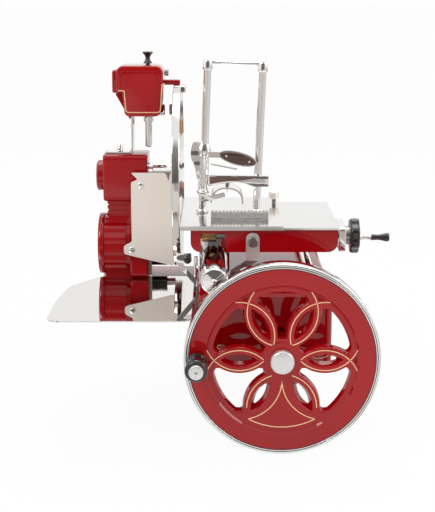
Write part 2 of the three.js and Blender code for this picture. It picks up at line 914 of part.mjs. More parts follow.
// Slice deflector on two studs in front of the column, and the slice tray on two arms
function makeDeflectorAndTray() {
  const back = -drumRadius - deflectorStandoff;
  const lobeX = deflectorLeft - deflectorLobe / 2;
  const outline = softOutline(
    [
      [deflectorLeft, deflectorTop],
      [deflectorLeft + deflectorSpike * 1.6, deflectorTop - deflectorSpike * 1.6],
      [deflectorLeft, deflectorTop - deflectorSpike * 2.2],
      [deflectorLeft, deflectorLobeZ + deflectorLobe],
      [deflectorLeft - deflectorLobe, deflectorLobeZ + deflectorLobe / 2],
      [deflectorLeft - deflectorLobe, deflectorLobeZ - deflectorLobe / 2],
      [deflectorLeft - deflectorLobe / 4, deflectorBottomLeft],
      [deflectorRight, deflectorBottomRight],
      [deflectorRight, deflectorTop],
      [deflectorRight - deflectorSpike * 0.7, deflectorTop],
      [deflectorRight - deflectorSpike, deflectorTop - deflectorNotch],
      [deflectorRight - deflectorSpike * 1.8, deflectorTop],
    ],
    deflectorSpike / 2,
  );
  const plate = frontShape(outline, sheetThick, back);
  const upperStudX = columnRight - 2 * studHeadRadius;
  const studs = {
    lower_deflector_stud: [lobeX + deflectorLobe / 2, deflectorLobeZ, -drumBandRadius],
    upper_deflector_stud: [upperStudX, deflectorTop - 3 * deflectorSpike, -columnDepth / 2],
  };
  let pierced = plate;
  for (const [x, z] of Object.values(studs)) {
    const studHole = rod("y", studRadius + gap, back - 2 * sheetThick, back + sheetThick, z, x, smallSides);
    pierced = cut(pierced, studHole);
  }
  addPiece(slicer, "slice_deflector", pierced, polishedSteel);
  for (const [name, [x, z, seat]] of Object.entries(studs)) {
    const head = back - sheetThick - gap;
    const stem = rod("y", studRadius, head - overrun / 2, seat - gap, z, x, smallSides);
    const cap = rod("y", studHeadRadius, head - overrun, head, z, x, smallSides);
    addPiece(slicer, name, join(stem, cap), chrome);
  }
  const trayOutline = softOutline(
    [
      [trayRight - trayWidth, trayBack - trayDepth],
      [trayRight, trayBack - trayDepth],
      [trayRight, trayBack],
      [trayRight - trayWidth * 0.74, trayBack],
      [trayRight - trayWidth * 0.95, trayBack - trayDepth * 0.25],
      [trayRight - trayWidth, trayBack - trayDepth * 0.6],
    ],
    trayCorner,
  );
  const tray = extruded("z", trayOutline, trayTop - sheetThick, trayTop, 0, 8);
  addPiece(slicer, "slice_tray", tray, polishedSteel);
  const armTopZ = trayTop - sheetThick - gap;
  const armRight = -halfWidth - gap;
  const armY = [trayBack - trayDepth * 0.5, trayBack - trayDepth * 0.15];
  const arms = armY.map((y) => {
    const half = trayArmWidth / 2;
    return block(armRight - trayArmReach, armRight, y - half, y + half, armTopZ - trayArmThick, armTopZ);
  });
  const flange = block(
    armRight - trayLip,
    armRight,
    armY[0] - trayArmWidth / 2,
    armY[1] + trayArmWidth / 2,
    armTopZ - 3 * trayArmThick,
    armTopZ,
  );
  addPiece(slicer, "tray_bracket", join(flange, ...arms), darkSteel);
}

// Carriage: an open-bottomed casting under a polished cover, with a saddle on the main rail
const carriage = new THREE.Group();
slicer.add(carriage);

function makeCarriage() {
  const left = -carriageWidth / 2;
  const right = carriageWidth / 2;
  const side = roundedShape(left, carriageBottom, right, carriageTop, carriageCorner);
  const squareBottom = carriageBottom + carriageCorner;
  const upper = block(left, right, carriageFront, carriageBack, squareBottom, carriageTop);
  const outer = join(frontShape(side, carriageBack - carriageFront, carriageBack, 5), upper);
  const inner = block(
    left + carriageWall,
    right - carriageWall,
    carriageFront + carriageWall,
    carriageBack - carriageWall,
    carriageBottom - overrun,
    carriageTop - deckThick,
  );
  const notchLeft = railAxisX - notchWidth / 2 - overrun;
  const notch = block(
    notchLeft,
    notchLeft + notchWidth,
    carriageFront - overrun,
    carriageBack + overrun,
    carriageBottom - overrun,
    carriageTop - deckThick - overrun,
  );
  const nutSlot = block(
    nutLeft() - 2 * gap - overrun,
    nutLeft() + nutWidth + feedTravel + overrun,
    screwAxisY - nutRadius - overrun,
    screwAxisY + nutRadius + overrun,
    carriageTop - deckThick - overrun,
    tableBottom,
  );
  const boreStart = right - carriageWall - overrun;
  const boreEnd = right + overrun;
  const screwBore = rod("x", screwRadius + gap, boreStart, boreEnd, screwAxisY, screwAxisZ);
  addPiece(carriage, "carriage_casting", cut(outer, inner, notch, nutSlot, screwBore), redPaint);
  const coverLeft = tableLeft + 2 * tableKnifeGap;
  const coverOutline = softOutline(
    [
      [coverLeft, carriageFront - coverReach],
      [right + overrun, carriageFront - coverReach],
      [right + overrun, carriageBack],
      [coverLeft, carriageBack],
    ],
    overrun,
  );
  const cover = cut(extruded("z", coverOutline, coverBottom, coverTop, 0, 3), nutSlot);
  addPiece(carriage, "carriage_cover", cover, polishedSteel);
  const saddleFront = saddleCentreY - saddleLength / 2;
  const saddleShape = roundedShape(
    railAxisX - saddleWidth / 2,
    railAxisZ - railRadius - carriageWall,
    railAxisX + saddleWidth / 2,
    carriageTop - deckThick - gap,
    carriageWall,
  );
  const saddleBack = saddleFront + saddleLength;
  const saddle = frontShape(saddleShape, saddleLength, saddleBack);
  const boreEnds = [saddleFront - overrun, saddleBack + overrun];
  const saddleBore = rod("y", railRadius + gap, ...boreEnds, railAxisZ, railAxisX);
  addPiece(carriage, "rail_saddle", cut(saddle, saddleBore), darkSteel);
}

function nutLeft() {
  return postFootX;
}

// Pieces on the carriage's right end and front
function makeCarriageFittings() {
  const right = carriageWidth / 2;
  const housingLeft = right + overrun + gap;
  const depthFront = screwAxisY - endHousingDepth / 2;
  const depthBack = depthFront + endHousingDepth;
  const housingShape = roundedShape(depthFront, carriageBottom, depthBack, coverTop, carriageWall);
  const housing = extruded("x", housingShape, housingLeft, housingLeft + endHousingWidth, endHousingEdge);
  const boreEnd = right + 2 * endHousingWidth + overrun;
  const bore = rod("x", screwRadius + gap, right, boreEnd, screwAxisY, screwAxisZ);
  addPiece(carriage, "feed_end_housing", cut(housing, bore), chrome);
  const plateTop = bracketTop - bracketWidth / 2;
  const plateFront = carriageFront - gap - bracketThick;
  const plateBack = plateFront + bracketThick;
  const plateLeft = bracketX - bracketWidth / 2;
  const holeRadius = railScrewRadius + gap;
  const hole = rod("y", holeRadius, plateFront - overrun, plateBack, bracketScrewZ, bracketX, smallSides);
  const plate = join(
    block(plateLeft, plateLeft + bracketWidth, plateFront, plateBack, bracketBottom, plateTop),
    rod("y", bracketWidth / 2, plateFront, plateBack, plateTop, bracketX),
  );
  addPiece(carriage, "trip_bracket", cut(plate, hole), chrome);
  const screw = join(
    rod("y", railScrewRadius, plateFront - overrun, plateBack, bracketScrewZ, bracketX, smallSides),
    rod("y", bracketScrewRadius, plateFront - 2 * overrun, plateFront - gap, bracketScrewZ, bracketX),
  );
  addPiece(carriage, "trip_bracket_screw", screw, darkSteel);
  const leverTop = bracketBottom + leverWidth;
  const leverShape = new THREE.Shape();
  const leverRight = bracketX + bracketWidth / 2;
  leverShape.moveTo(leverRight, leverTop);
  leverShape.lineTo(leverRight - leverReach - bracketWidth, leverTop - leverDrop);
  leverShape.lineTo(leverRight - leverReach - bracketWidth, leverTop - leverDrop - leverWidth);
  leverShape.lineTo(leverRight, leverTop - leverWidth);
  leverShape.closePath();
  const leverBack = carriageFront + leverThick + gap;
  const lever = frontShape(leverShape, leverThick, leverBack);
  const hangerFront = leverBack - leverThick + gap;
  const hangerTop = carriageBottom - gap;
  const hanger = block(bracketX, leverRight, hangerFront, leverBack, bracketBottom + gap, hangerTop);
  addPiece(carriage, "feed_trip_lever", join(lever, hanger), darkSteel);
  const forkLeft = outerRailX - rollerWidth / 2 - gap - forkThick;
  const forkRight = outerRailX + rollerWidth / 2 + gap;
  const rollerZ = rollerAxisZ();
  const forkFront = rollerY() - rollerRadius / 2;
  const forkBack = rollerY() + rollerRadius / 2;
  const forkTop = carriageTop - deckThick - gap;
  const forkEnd = forkRight + forkThick;
  const cheek = (x) => block(x, x + forkThick, forkFront, forkBack, rollerZ - rollerRadius / 2, forkTop);
  const bridge = block(forkLeft, forkEnd, forkFront, forkBack, rollerZ + rollerRadius + overrun, forkTop);
  const pinEnds = [forkLeft - overrun, forkEnd + overrun];
  const pin = rod("x", rollerPinRadius, ...pinEnds, rollerY(), rollerZ, smallSides);
  addPiece(carriage, "roller_fork", join(cheek(forkLeft), cheek(forkRight), bridge, pin), darkSteel);
  const roller = tube(
    "x",
    rollerRadius,
    rollerPinRadius + gap,
    outerRailX - rollerWidth / 2,
    outerRailX + rollerWidth / 2,
    rollerY(),
    rollerZ,
    smallSides,
  );
  addPiece(carriage, "rail_roller", roller, chrome);
}

function rollerY() {
  return saddleCentreY;
}

function rollerAxisZ() {
  return outerRailZ + outerRailRadius + gap + rollerRadius;
}

// Feed screw with its handwheel
function makeFeedScrew() {
  const screwRight = carriageWidth / 2 + overrun + gap + endHousingWidth + gap;
  const profile = [[0, screwLeft]];
  const grooveEnd = nutLeft() + nutWidth + feedTravel;
  for (let x = screwLeft; x < grooveEnd; x += threadPitch) {
    profile.push([screwRadius - threadDepth, x + threadPitch * 0.1]);
    profile.push([screwRadius - gap / 2, x + threadPitch * 0.5]);
  }
  profile.push([screwRadius, grooveEnd + threadPitch]);
  profile.push([screwRadius, screwRight + overrun]);
  profile.push([0, screwRight + overrun]);
  const thread = turned("x", profile, screwAxisY, screwAxisZ, 0, threadSides);
  const hub = rod("x", hubRadius, screwRight, screwRight + hubLength, screwAxisY, screwAxisZ);
  addPiece(carriage, "feed_screw", join(thread, hub), darkSteel);
  const wheelStart = screwRight + hubLength + gap;
  const rim = new THREE.Shape();
  const steps = handwheelLobes * 5;
  for (let i = 0; i <= steps; i += 1) {
    const turn = (2 * Math.PI * i) / steps;
    const radius = handwheelRadius - (lobeDepth / 2) * (1 - Math.cos(handwheelLobes * turn));
    const point = [screwAxisY + radius * Math.cos(turn), screwAxisZ + radius * Math.sin(turn)];
    if (i === 0) {
      rim.moveTo(...point);
    } else if (i < steps) {
      rim.lineTo(...point);
    }
  }
  rim.closePath();
  const wheelEnd = wheelStart + handwheelThick;
  const wheel = extruded("x", rim, wheelStart, wheelEnd, handwheelThick / 4);
  addPiece(carriage, "feed_handwheel", wheel, blackPlastic);
  const pinY = screwAxisY - spinnerOffset;
  const stemProfile = [
    [0, 0],
    [spinnerStemRadius * 1.5, 0],
    [spinnerStemRadius, spinnerStem / 3],
    [spinnerStemRadius, spinnerStem - spinnerStemRadius],
    [spinnerStemRadius * 1.3, spinnerStem],
    [spinnerStemRadius / 2, spinnerStem],
    [spinnerStemRadius / 2, spinnerStem + spinnerLength * 0.8],
    [0, spinnerStem + spinnerLength * 0.8],
  ];
  const stem = turned("x", stemProfile, pinY, screwAxisZ, wheelEnd + gap, smallSides);
  addPiece(carriage, "spinner_pin", stem, chrome);
  const handleProfile = [
    [spinnerStemRadius / 2 + gap, 0],
    [spinnerRadius * 0.7, 0],
    [spinnerRadius * 0.62, spinnerLength * 0.45],
    [spinnerRadius, spinnerLength * 0.82],
    [spinnerRadius * 0.75, spinnerLength],
    [0, spinnerLength],
    [0, spinnerLength * 0.86],
    [spinnerStemRadius / 2 + gap, spinnerLength * 0.86],
    [spinnerStemRadius / 2 + gap, 0],
  ];
  const handle = turned("x", handleProfile, pinY, screwAxisZ, wheelEnd + 2 * gap + spinnerStem, smallSides);
  addPiece(carriage, "spinner_handle", handle, blackPlastic);
}

// Meat table: a polished plate that the screw feeds across the carriage
const meatTable = new THREE.Group();
carriage.add(meatTable);

function makeMeatTable() {
  const front = carriageFront - coverReach - gap - tableFrontLip;
  const outline = softOutline(
    [
      [tableLeft, front],
      [tableRight, front],
      [tableRight, tableBack],
      [tableLeft, tableBack],
    ],
    tableCorner / 4,
  );
  const plate = extruded("z", outline, tableBottom, tableTop, 0, 4);
  const lipBottom = coverBottom - gap;
  const lipTop = tableBottom + tableSheet / 2;
  const lip = block(tableLeft, tableRight, front, front + tableFrontLip, lipBottom, lipTop);
  addPiece(meatTable, "meat_table", join(plate, lip), polishedSteel);
  const nutTop = tableBottom - gap;
  const nutRight = nutLeft() + nutWidth;
  const nutBody = join(
    block(nutLeft(), nutRight, screwAxisY - nutRadius, screwAxisY + nutRadius, screwAxisZ, nutTop),
    rod("x", nutRadius, nutLeft(), nutRight, screwAxisY, screwAxisZ, smallSides),
  );
  const boreEnds = [nutLeft() - overrun, nutRight + overrun];
  const nutBore = rod("x", screwRadius + gap, ...boreEnds, screwAxisY, screwAxisZ, smallSides);
  addPiece(meatTable, "feed_nut", cut(nutBody, nutBore), bronze);
  const stripBottom = tableTop + gap;
  const stripTop = stripBottom + stripHeight;
  let strip = block(stripLeft, stripRight, stripY, stripY + stripThick, stripBottom, stripTop - toothHeight);
  const pitch = (stripRight - stripLeft) / stripRibs;
  const saw = new THREE.Shape();
  saw.moveTo(stripLeft, stripBottom + stripHeight / 2);
  for (let i = 0; i < stripRibs; i += 1) {
    saw.lineTo(stripLeft + pitch * i, stripTop - toothHeight);
    saw.lineTo(stripLeft + pitch * (i + 0.5), stripTop);
  }
  saw.lineTo(stripRight, stripTop - toothHeight);
  saw.lineTo(stripRight, stripBottom + stripHeight / 2);
  saw.closePath();
  const teeth = frontShape(saw, stripThick / 2, stripY + (stripThick * 3) / 4);
  strip = join(strip, teeth);
  const grooves = [1, 2].map((i) => {
    const z = stripBottom + (stripHeight - toothHeight) * (i / 3);
    const grooveBack = stripY + stripGroove;
    const grooveFront = stripY - overrun;
    return block(stripLeft - overrun, stripRight + overrun, grooveFront, grooveBack, z, z + stripGroove);
  });
  addPiece(meatTable, "toothed_strip", cut(strip, ...grooves), darkSteel);
  const knobProfile = [
    [0, 0],
    [fenceKnobRadius * 0.4, 0],
    [fenceKnobRadius * 0.4, fenceStemHeight],
    [fenceKnobRadius * 0.8, fenceStemHeight],
    [fenceKnobRadius, fenceStemHeight + fenceKnobHeight * 0.25],
    [fenceKnobRadius, fenceStemHeight + fenceKnobHeight * 0.8],
    [fenceKnobRadius * 0.75, fenceStemHeight + fenceKnobHeight],
    [0, fenceStemHeight + fenceKnobHeight],
  ];
  const knob = turned("z", knobProfile, fenceKnobX, fenceKnobY, stripBottom, smallSides);
  addPiece(meatTable, "fence_knob", knob, chrome);
}

// Meat press: two leaning posts, a top bar, and a press that slides on them
const pressFrame = new THREE.Group();
pressFrame.position.set(postFootX, postY, tableTop);
pressFrame.rotation.y = THREE.MathUtils.degToRad(pressLean);
meatTable.add(pressFrame);
const leanTan = Math.tan(THREE.MathUtils.degToRad(pressLean));

function makePressFrame() {
  const postEnd = postHeight - topSocketHeight / 2;
  const posts = [];
  for (const x of [0, postSpacing]) {
    const floor = x * leanTan + postFootRadius * leanTan + gap;
    const footProfile = [
      [0, 0],
      [postFootRadius, 0],
      [postFootRadius, postFootHeight / 2],
      [postRadius + overrun, postFootHeight],
      [postRadius, postFootHeight],
      [postRadius, postEnd - floor],
      [0, postEnd - floor],
    ];
    posts.push(turned("z", footProfile, x, 0, floor, smallSides));
  }
  const barZ = postHeight - topSocketHeight / 3;
  const socketProfile = [
    [0, 0],
    [topSocketRadius, 0],
    [topSocketRadius, topSocketHeight * 0.7],
    [topSocketRadius * 0.7, topSocketHeight],
    [0, topSocketHeight],
  ];
  const sockets = [0, postSpacing].map((x) =>
    turned("z", socketProfile, x, 0, postHeight - topSocketHeight, smallSides),
  );
  const neckLength = postSpacing * 0.25;
  const bar = join(
    rod("x", topBarRadius, 0, postSpacing, 0, barZ, smallSides),
    cone("x", topBarRadius * 2, topBarRadius, 0, neckLength, 0, barZ, smallSides),
    cone("x", topBarRadius, topBarRadius * 2, postSpacing - neckLength, postSpacing, 0, barZ, smallSides),
  );
  addPiece(pressFrame, "press_frame", join(bar, ...posts, ...sockets), chrome);
}

const press = new THREE.Group();
pressFrame.add(press);

// Outline of the clamp head: shares of its width to the left and of its height downwards
const clampShares = [
  [0.25, 0],
  [0.85, 0],
  [1, 0.4],
  [0.62, 0.68],
  [0.46, 1],
  [0.3, 1],
];

function makePress() {
  const boreRadius = postRadius + gap;
  const bodyProfile = [
    [boreRadius, 0],
    [sliderRadius, 0],
    [sliderRadius + overrun, overrun],
    [sliderRadius + overrun, 3 * overrun],
    [sliderRadius * 0.95, 5 * overrun],
    [sliderRadius * 0.92, sliderTop - sliderBottom - 3 * sliderRadius],
    [sliderRadius * 1.25, sliderTop - sliderBottom - 1.8 * sliderRadius],
    [sliderRadius * 1.25, sliderTop - sliderBottom - sliderRadius],
    [sliderRadius * 0.95, sliderTop - sliderBottom],
    [boreRadius, sliderTop - sliderBottom],
  ];
  const body = ring("z", bodyProfile, 0, 0, sliderBottom, smallSides);
  const beamEnds = [sliderRadius * 0.8, postSpacing - sliderRadius / 2];
  const beam = frontShape(archedBeam(...beamEnds, 0), beamDepth, beamDepth / 2, 6);
  const pocketEnds = [2 * sliderRadius, postSpacing - sliderRadius];
  const pocketBack = -beamDepth / 2 + beamPocket;
  const pocket = frontShape(archedBeam(...pocketEnds, beamFlange), 2 * beamPocket, pocketBack, 6);
  const rightBlock = extruded(
    "z",
    roundedShape(
      postSpacing - rightSliderWidth * rightSliderLeftShare,
      -rightSliderDepth / 2,
      postSpacing + rightSliderWidth * (1 - rightSliderLeftShare),
      rightSliderDepth / 2,
      overrun,
    ),
    beamTop - rightSliderHeight,
    beamTop + overrun / 2,
    rightSliderEdge,
  );
  const rightBore = rod("z", boreRadius, 0, postHeight, postSpacing, 0, smallSides);
  const clampOutline = clampShares.map(([across, down]) => [
    -clampWidth * across,
    clampTop - clampHeight * down,
  ]);
  const clampShape = softOutline(clampOutline, sliderRadius);
  const clamp = frontShape(clampShape, clampThick, clampThick / 2);
  const tongueStart = sliderBottom - lugBoltRadius;
  const tongueShape = softOutline(
    [
      [0, tongueStart - overrun],
      [tongueLength, tongueStart + tongueRise - lugBoltRadius],
      [tongueLength - overrun, tongueStart + tongueRise],
      [0, tongueStart + lugBoltRadius],
    ],
    overrun,
  );
  const tongue = frontShape(tongueShape, tongueThick, tongueY + tongueThick);
  const lugBoltZ = sliderBottom + overrun;
  const lugBoltEnds = [tongueY - tongueThick, -boreRadius];
  const lugBolt = rod("y", lugBoltRadius, ...lugBoltEnds, lugBoltZ, 0, smallSides);
  const leftBore = rod("z", boreRadius, 0, postHeight, 0, 0, smallSides);
  const solid = cut(join(body, cut(beam, pocket), rightBlock, clamp, tongue, lugBolt), leftBore);
  const casting = cut(solid, rightBore);
  addPiece(press, "press_beam", casting, chrome);
  const plateShape = new THREE.Shape();
  const plateLeft = sliderRadius + 2 * overrun + gap;
  const plateRight = plateLeft + pressPlateLength;
  const plateLow = pressPlateTop - pressPlateHeight;
  const plateHigh = pressPlateTop;
  plateShape.moveTo(plateLeft, plateLow);
  plateShape.quadraticCurveTo(plateLeft, plateHigh, (plateLeft + plateRight) / 2, plateHigh);
  plateShape.quadraticCurveTo(plateRight, plateHigh, plateRight, plateLow);
  plateShape.lineTo(plateRight - pressPlateThick, plateLow);
  plateShape.quadraticCurveTo(
    plateRight - pressPlateThick,
    plateHigh - pressPlateThick,
    (plateLeft + plateRight) / 2,
    plateHigh - pressPlateThick,
  );
  plateShape.quadraticCurveTo(
    plateLeft + pressPlateThick,
    plateHigh - pressPlateThick,
    plateLeft + pressPlateThick,
    plateLow,
  );
  plateShape.closePath();
  const shell = frontShape(plateShape, pressPlateDepth, pressPlateDepth / 2, 6);
  const middleX = (plateLeft + plateRight) / 2;
  const spikeTop = plateHigh - pressPlateThick / 2;
  const spikes = Array.from({ length: pressSpikes }, (_, i) => {
    const y = pressPlateDepth * ((i + 0.5) / pressSpikes - 0.5);
    const spikeFoot = spikeTop - 2 * pressSpikeHeight;
    return cone("z", gap, pressSpikeHeight / 2, spikeFoot, spikeTop, middleX, y, spikeSides);
  });
  addPiece(press, "press_plate", join(shell, ...spikes), polishedSteel);
  const screwTop = beamTop - beamEndHeight + beamArch - overrun;
  const screw = join(
    rod("z", wingScrewRadius / 2, plateHigh + gap, screwTop, middleX, 0, smallSides),
    rod("z", wingScrewRadius, plateHigh + gap, plateHigh + wingScrewRadius, middleX, 0, smallSides),
  );
  addPiece(press, "press_plate_screw", screw, darkSteel);
  makePressGrip(boreRadius);
}

// Side view of the beam, straight on top and arched below, drawn smaller by an inset
function archedBeam(left, right, inset) {
  const shape = new THREE.Shape();
  const low = beamTop - beamEndHeight + inset;
  shape.moveTo(left, beamTop - inset);
  shape.lineTo(left, low);
  shape.quadraticCurveTo((left + right) / 2, low + 2 * beamArch, right, low);
  shape.lineTo(right, beamTop - inset);
  shape.closePath();
  return shape;
}

function gripY() {
  return -postRadius - 2 * gap - gripScaleThick - gripFrameThick / 2;
}

// The hand grip of the press: a chrome frame with a scale on each side, and a lever under it
function makePressGrip(boreRadius) {
  const tilt = THREE.MathUtils.degToRad(gripTiltDegrees);
  const ellipse = (halfLong, halfHigh) => {
    const shape = new THREE.Shape();
    shape.absellipse(0, 0, halfLong, halfHigh, 0, 2 * Math.PI, false, 0);
    return shape;
  };
  const lay = (shape, thick) =>
    frontShape(shape, thick, thick / 2, 16)
      .rotateY(-tilt)
      .translate(gripCentreX, gripY(), gripCentreZ);
  const rim = lay(ellipse(gripLength / 2 + gripFrameRim, gripHeight / 2 + gripFrameRim), gripFrameThick);
  const hole = lay(ellipse(gripLength / 2 + gap, gripHeight / 2 + gap), 2 * gripFrameThick);
  const tangRight = gripCentreX - gripLength / 3;
  const tangZ = gripCentreZ + tangHeight;
  const tangFront = gripY() - gripFrameThick / 2;
  const tangBack = tangFront + gripFrameThick;
  const tang = block(boreRadius - gap, tangRight, tangFront, tangBack, tangZ - tangHeight, tangZ);
  const clearRadius = sliderRadius * 1.25 + gap;
  const clear = rod("z", clearRadius, sliderBottom, sliderTop, 0, 0, smallSides);
  addPiece(press, "press_grip_frame", cut(join(rim, tang), hole, clear), chrome);
  const core = lay(ellipse(gripLength / 2, gripHeight / 2), gripFrameThick + 2 * gripScaleThick);
  addPiece(press, "press_grip", core, brownWood);
  const leverStart = sliderRadius * 1.25 + gap;
  const leverTopZ = gripCentreZ - releaseDrop + releaseLeverHeight;
  const leverPath = new THREE.Shape();
  leverPath.moveTo(leverStart, leverTopZ + releaseLeverHeight);
  const leverTip = leverTopZ - releaseLeverHeight * 1.6;
  leverPath.quadraticCurveTo(gripCentreX / 2, leverTopZ, gripCentreX, leverTip);
  leverPath.lineTo(gripCentreX, leverTip - releaseLeverHeight);
  leverPath.quadraticCurveTo(gripCentreX / 2, leverTopZ - releaseLeverHeight, leverStart, leverTopZ);
  leverPath.closePath();
  const lever = frontShape(leverPath, releaseLeverThick, releaseLeverThick / 2, 8);
  addPiece(press, "press_release_lever", lever, chrome);
}

// Sharpener: a red head on a bent strap over the column, with an arm to the guard's hood
function makeSharpener() {
  const outline = softOutline(
    [
      [headLeft, headTop],
      [headLeft, headStepZ],
      [headLowerLeft - lugWidth / 2, headStepZ],
      [headLowerLeft, headBottom],
      [headLowerRight, headBottom],
      [headRight, headStepZ],
      [headRight, headTop],
    ],
    headCorner,
  );
  const head = new THREE.ExtrudeGeometry(outline, {
    depth: headDepth - 2 * headEdge,
    bevelEnabled: true,
    bevelThickness: headEdge,
    bevelSize: headEdge,
    bevelOffset: -headEdge,
    bevelSegments: 1,
    curveSegments: 4,
  })
    .rotateX(Math.PI / 2)
    .translate(0, headDepth / 2 - headEdge, 0);
  const wedgeShape = softOutline(
    [
      [headLeft - lugWidth * 0.8, headStepZ - lugWidth],
      [headLowerLeft, headStepZ],
      [headLowerRight, headStepZ],
      [headLowerLeft + lugWidth / 2, headBottom - wedgeDrop],
    ],
    overrun,
  );
  const wedge = frontShape(wedgeShape, wedgeDepth, headDepth / 2 - overrun / 2);
  const armBottomZ = hoodTopZ() + gap;
  const arm = block(
    headRight - headCorner,
    knifeFaceX - overrun,
    -sharpenerArmDepth / 2,
    sharpenerArmDepth / 2,
    armBottomZ,
    armBottomZ + sharpenerArmHeight,
  );
  const shaftEnds = [headBottom - overrun, headTop + overrun];
  const bore = rod("z", plungerRadius + gap, ...shaftEnds, plungerX, 0, smallSides);
  const lugTop = headTop - headCorner;
  const lug = extruded(
    "x",
    roundedShape(-lugDepth / 2, lugTop - lugHeight, lugDepth / 2, lugTop, headCorner),
    headLeft - lugWidth,
    headLeft + overrun,
    headEdge / 2,
  );
  const stoneZ = hoodTopZ() - hoodHeight - 2 * stoneRadius;
  const stoneX = headRight + gap + stoneThick;
  const stoneY = hoodWidth / 2 + stoneRadius;
  const arborStart = headRight - 2 * headCorner;
  const arborHolder = block(
    arborStart,
    headRight,
    headDepth / 2 - headCorner,
    stoneY + stoneRadius,
    stoneZ - stoneRadius,
    stoneZ + stoneRadius,
  );
  const arbor = rod("x", plungerRadius, headRight - overrun, stoneX - gap, stoneY, stoneZ, smallSides);
  const casting = cut(join(head, wedge, arm, lug, arborHolder, arbor), bore);
  addPiece(slicer, "sharpener_head", casting, redPaint);
  const plateTop = headBottom - gap;
  const plateBottom = plateTop - sharpenerPlateThick;
  const strapTop = plateBottom;
  const strapBottom = columnTop + gap;
  const strapLeft = columnLeft + baseEdge;
  const strapShape = softOutline(
    [
      [strapLeft, strapBottom],
      [strapX, strapBottom],
      [strapX, strapTop],
      [headRight - overrun, strapTop],
      [headRight - overrun, plateTop],
      [strapX - strapThick, plateTop],
      [strapX - strapThick, strapBottom + strapThick],
      [strapLeft, strapBottom + strapThick],
    ],
    strapBend,
  );
  const strap = frontShape(strapShape, strapWidth, strapWidth / 2);
  const boreEnds = [plateBottom - overrun, plateTop + overrun];
  const strapBore = rod("z", plungerRadius + gap, ...boreEnds, plungerX, 0, smallSides);
  const screwX = columnLeft + columnBoxHeight / 3;
  const screwProfile = [
    [0, 0],
    [studHeadRadius, 0],
    [studHeadRadius, studHeadRadius],
    [studHeadRadius * 0.7, studHeadRadius * 1.6],
    [0, studHeadRadius * 2],
  ];
  const strapScrew = turned("z", screwProfile, screwX, 0, strapBottom + strapThick - gap, smallSides);
  const sleeveTop = plateBottom + gap;
  const sleeve = ring(
    "z",
    [
      [plungerRadius + gap, -sleeveLength],
      [sleeveRadius, -sleeveLength],
      [sleeveRadius, -sleeveCollarHeight],
      [sleeveCollar, -sleeveCollarHeight],
      [sleeveCollar, -sleeveCollarHeight * 0.45],
      [sleeveFlange, -sleeveCollarHeight * 0.15],
      [sleeveFlange, 0],
      [plungerRadius + gap, 0],
    ],
    plungerX,
    0,
    sleeveTop,
    smallSides,
  );
  const bored = cut(join(strap, strapScrew, sleeve), strapBore);
  addPiece(slicer, "sharpener_strap", bored, chrome);
  const plungerBottom = sleeveTop - sleeveLength - overrun;
  const knobStart = headTop + gap;
  const knobProfile = [
    [0, plungerBottom],
    [plungerRadius, plungerBottom],
    [plungerRadius, knobStart],
    [knobRadius * 0.85, knobStart],
    [knobWaist, knobStart + knobHeight * 0.35],
    [knobWaist, knobStart + knobHeight * 0.5],
    [knobRadius, knobStart + knobHeight * 0.85],
    [knobRadius * 0.9, knobStart + knobHeight],
    [0, knobStart + knobHeight],
  ];
  const plunger = turned("z", knobProfile, plungerX, 0, 0, smallSides);
  addPiece(slicer, "sharpener_plunger", plunger, blackPlastic);
  const buttonZ = headTop - headCorner - buttonRadius;
  const buttonStart = headRight + gap;
  const buttonEnd = buttonStart + buttonLength;
  const button = rod("x", buttonRadius, buttonStart, buttonEnd, -headDepth / 4, buttonZ, smallSides);
  addPiece(slicer, "stone_button", button, darkSteel);
  const stone = rod("x", stoneRadius, stoneX, stoneX + stoneThick, stoneY, stoneZ, smallSides);
  addPiece(slicer, "grinding_stone", stone, stoneGrey);
}

// Flywheel, in its own frame: x to the right, y up, z out of the face
const flywheel = new THREE.Group();
flywheel.position.set(wheelAxisX, wheelFaceY, wheelAxisZ);
flywheel.rotation.x = Math.PI / 2;
slicer.add(flywheel);

function petalCentre(index) {
  const turn = Math.PI / petalCount + (2 * Math.PI * index) / petalCount;
  return [petalCentreRadius * Math.cos(turn), petalCentreRadius * Math.sin(turn)];
}

// A round cutter with draft, wider at the face than at the back
function draftedRod(radius, draft, centre) {
  const back = -plateDepth - plateInset - overrun;
  return cone("z", radius - draft, radius + draft, back, overrun, centre[0], centre[1], roundSides);
}

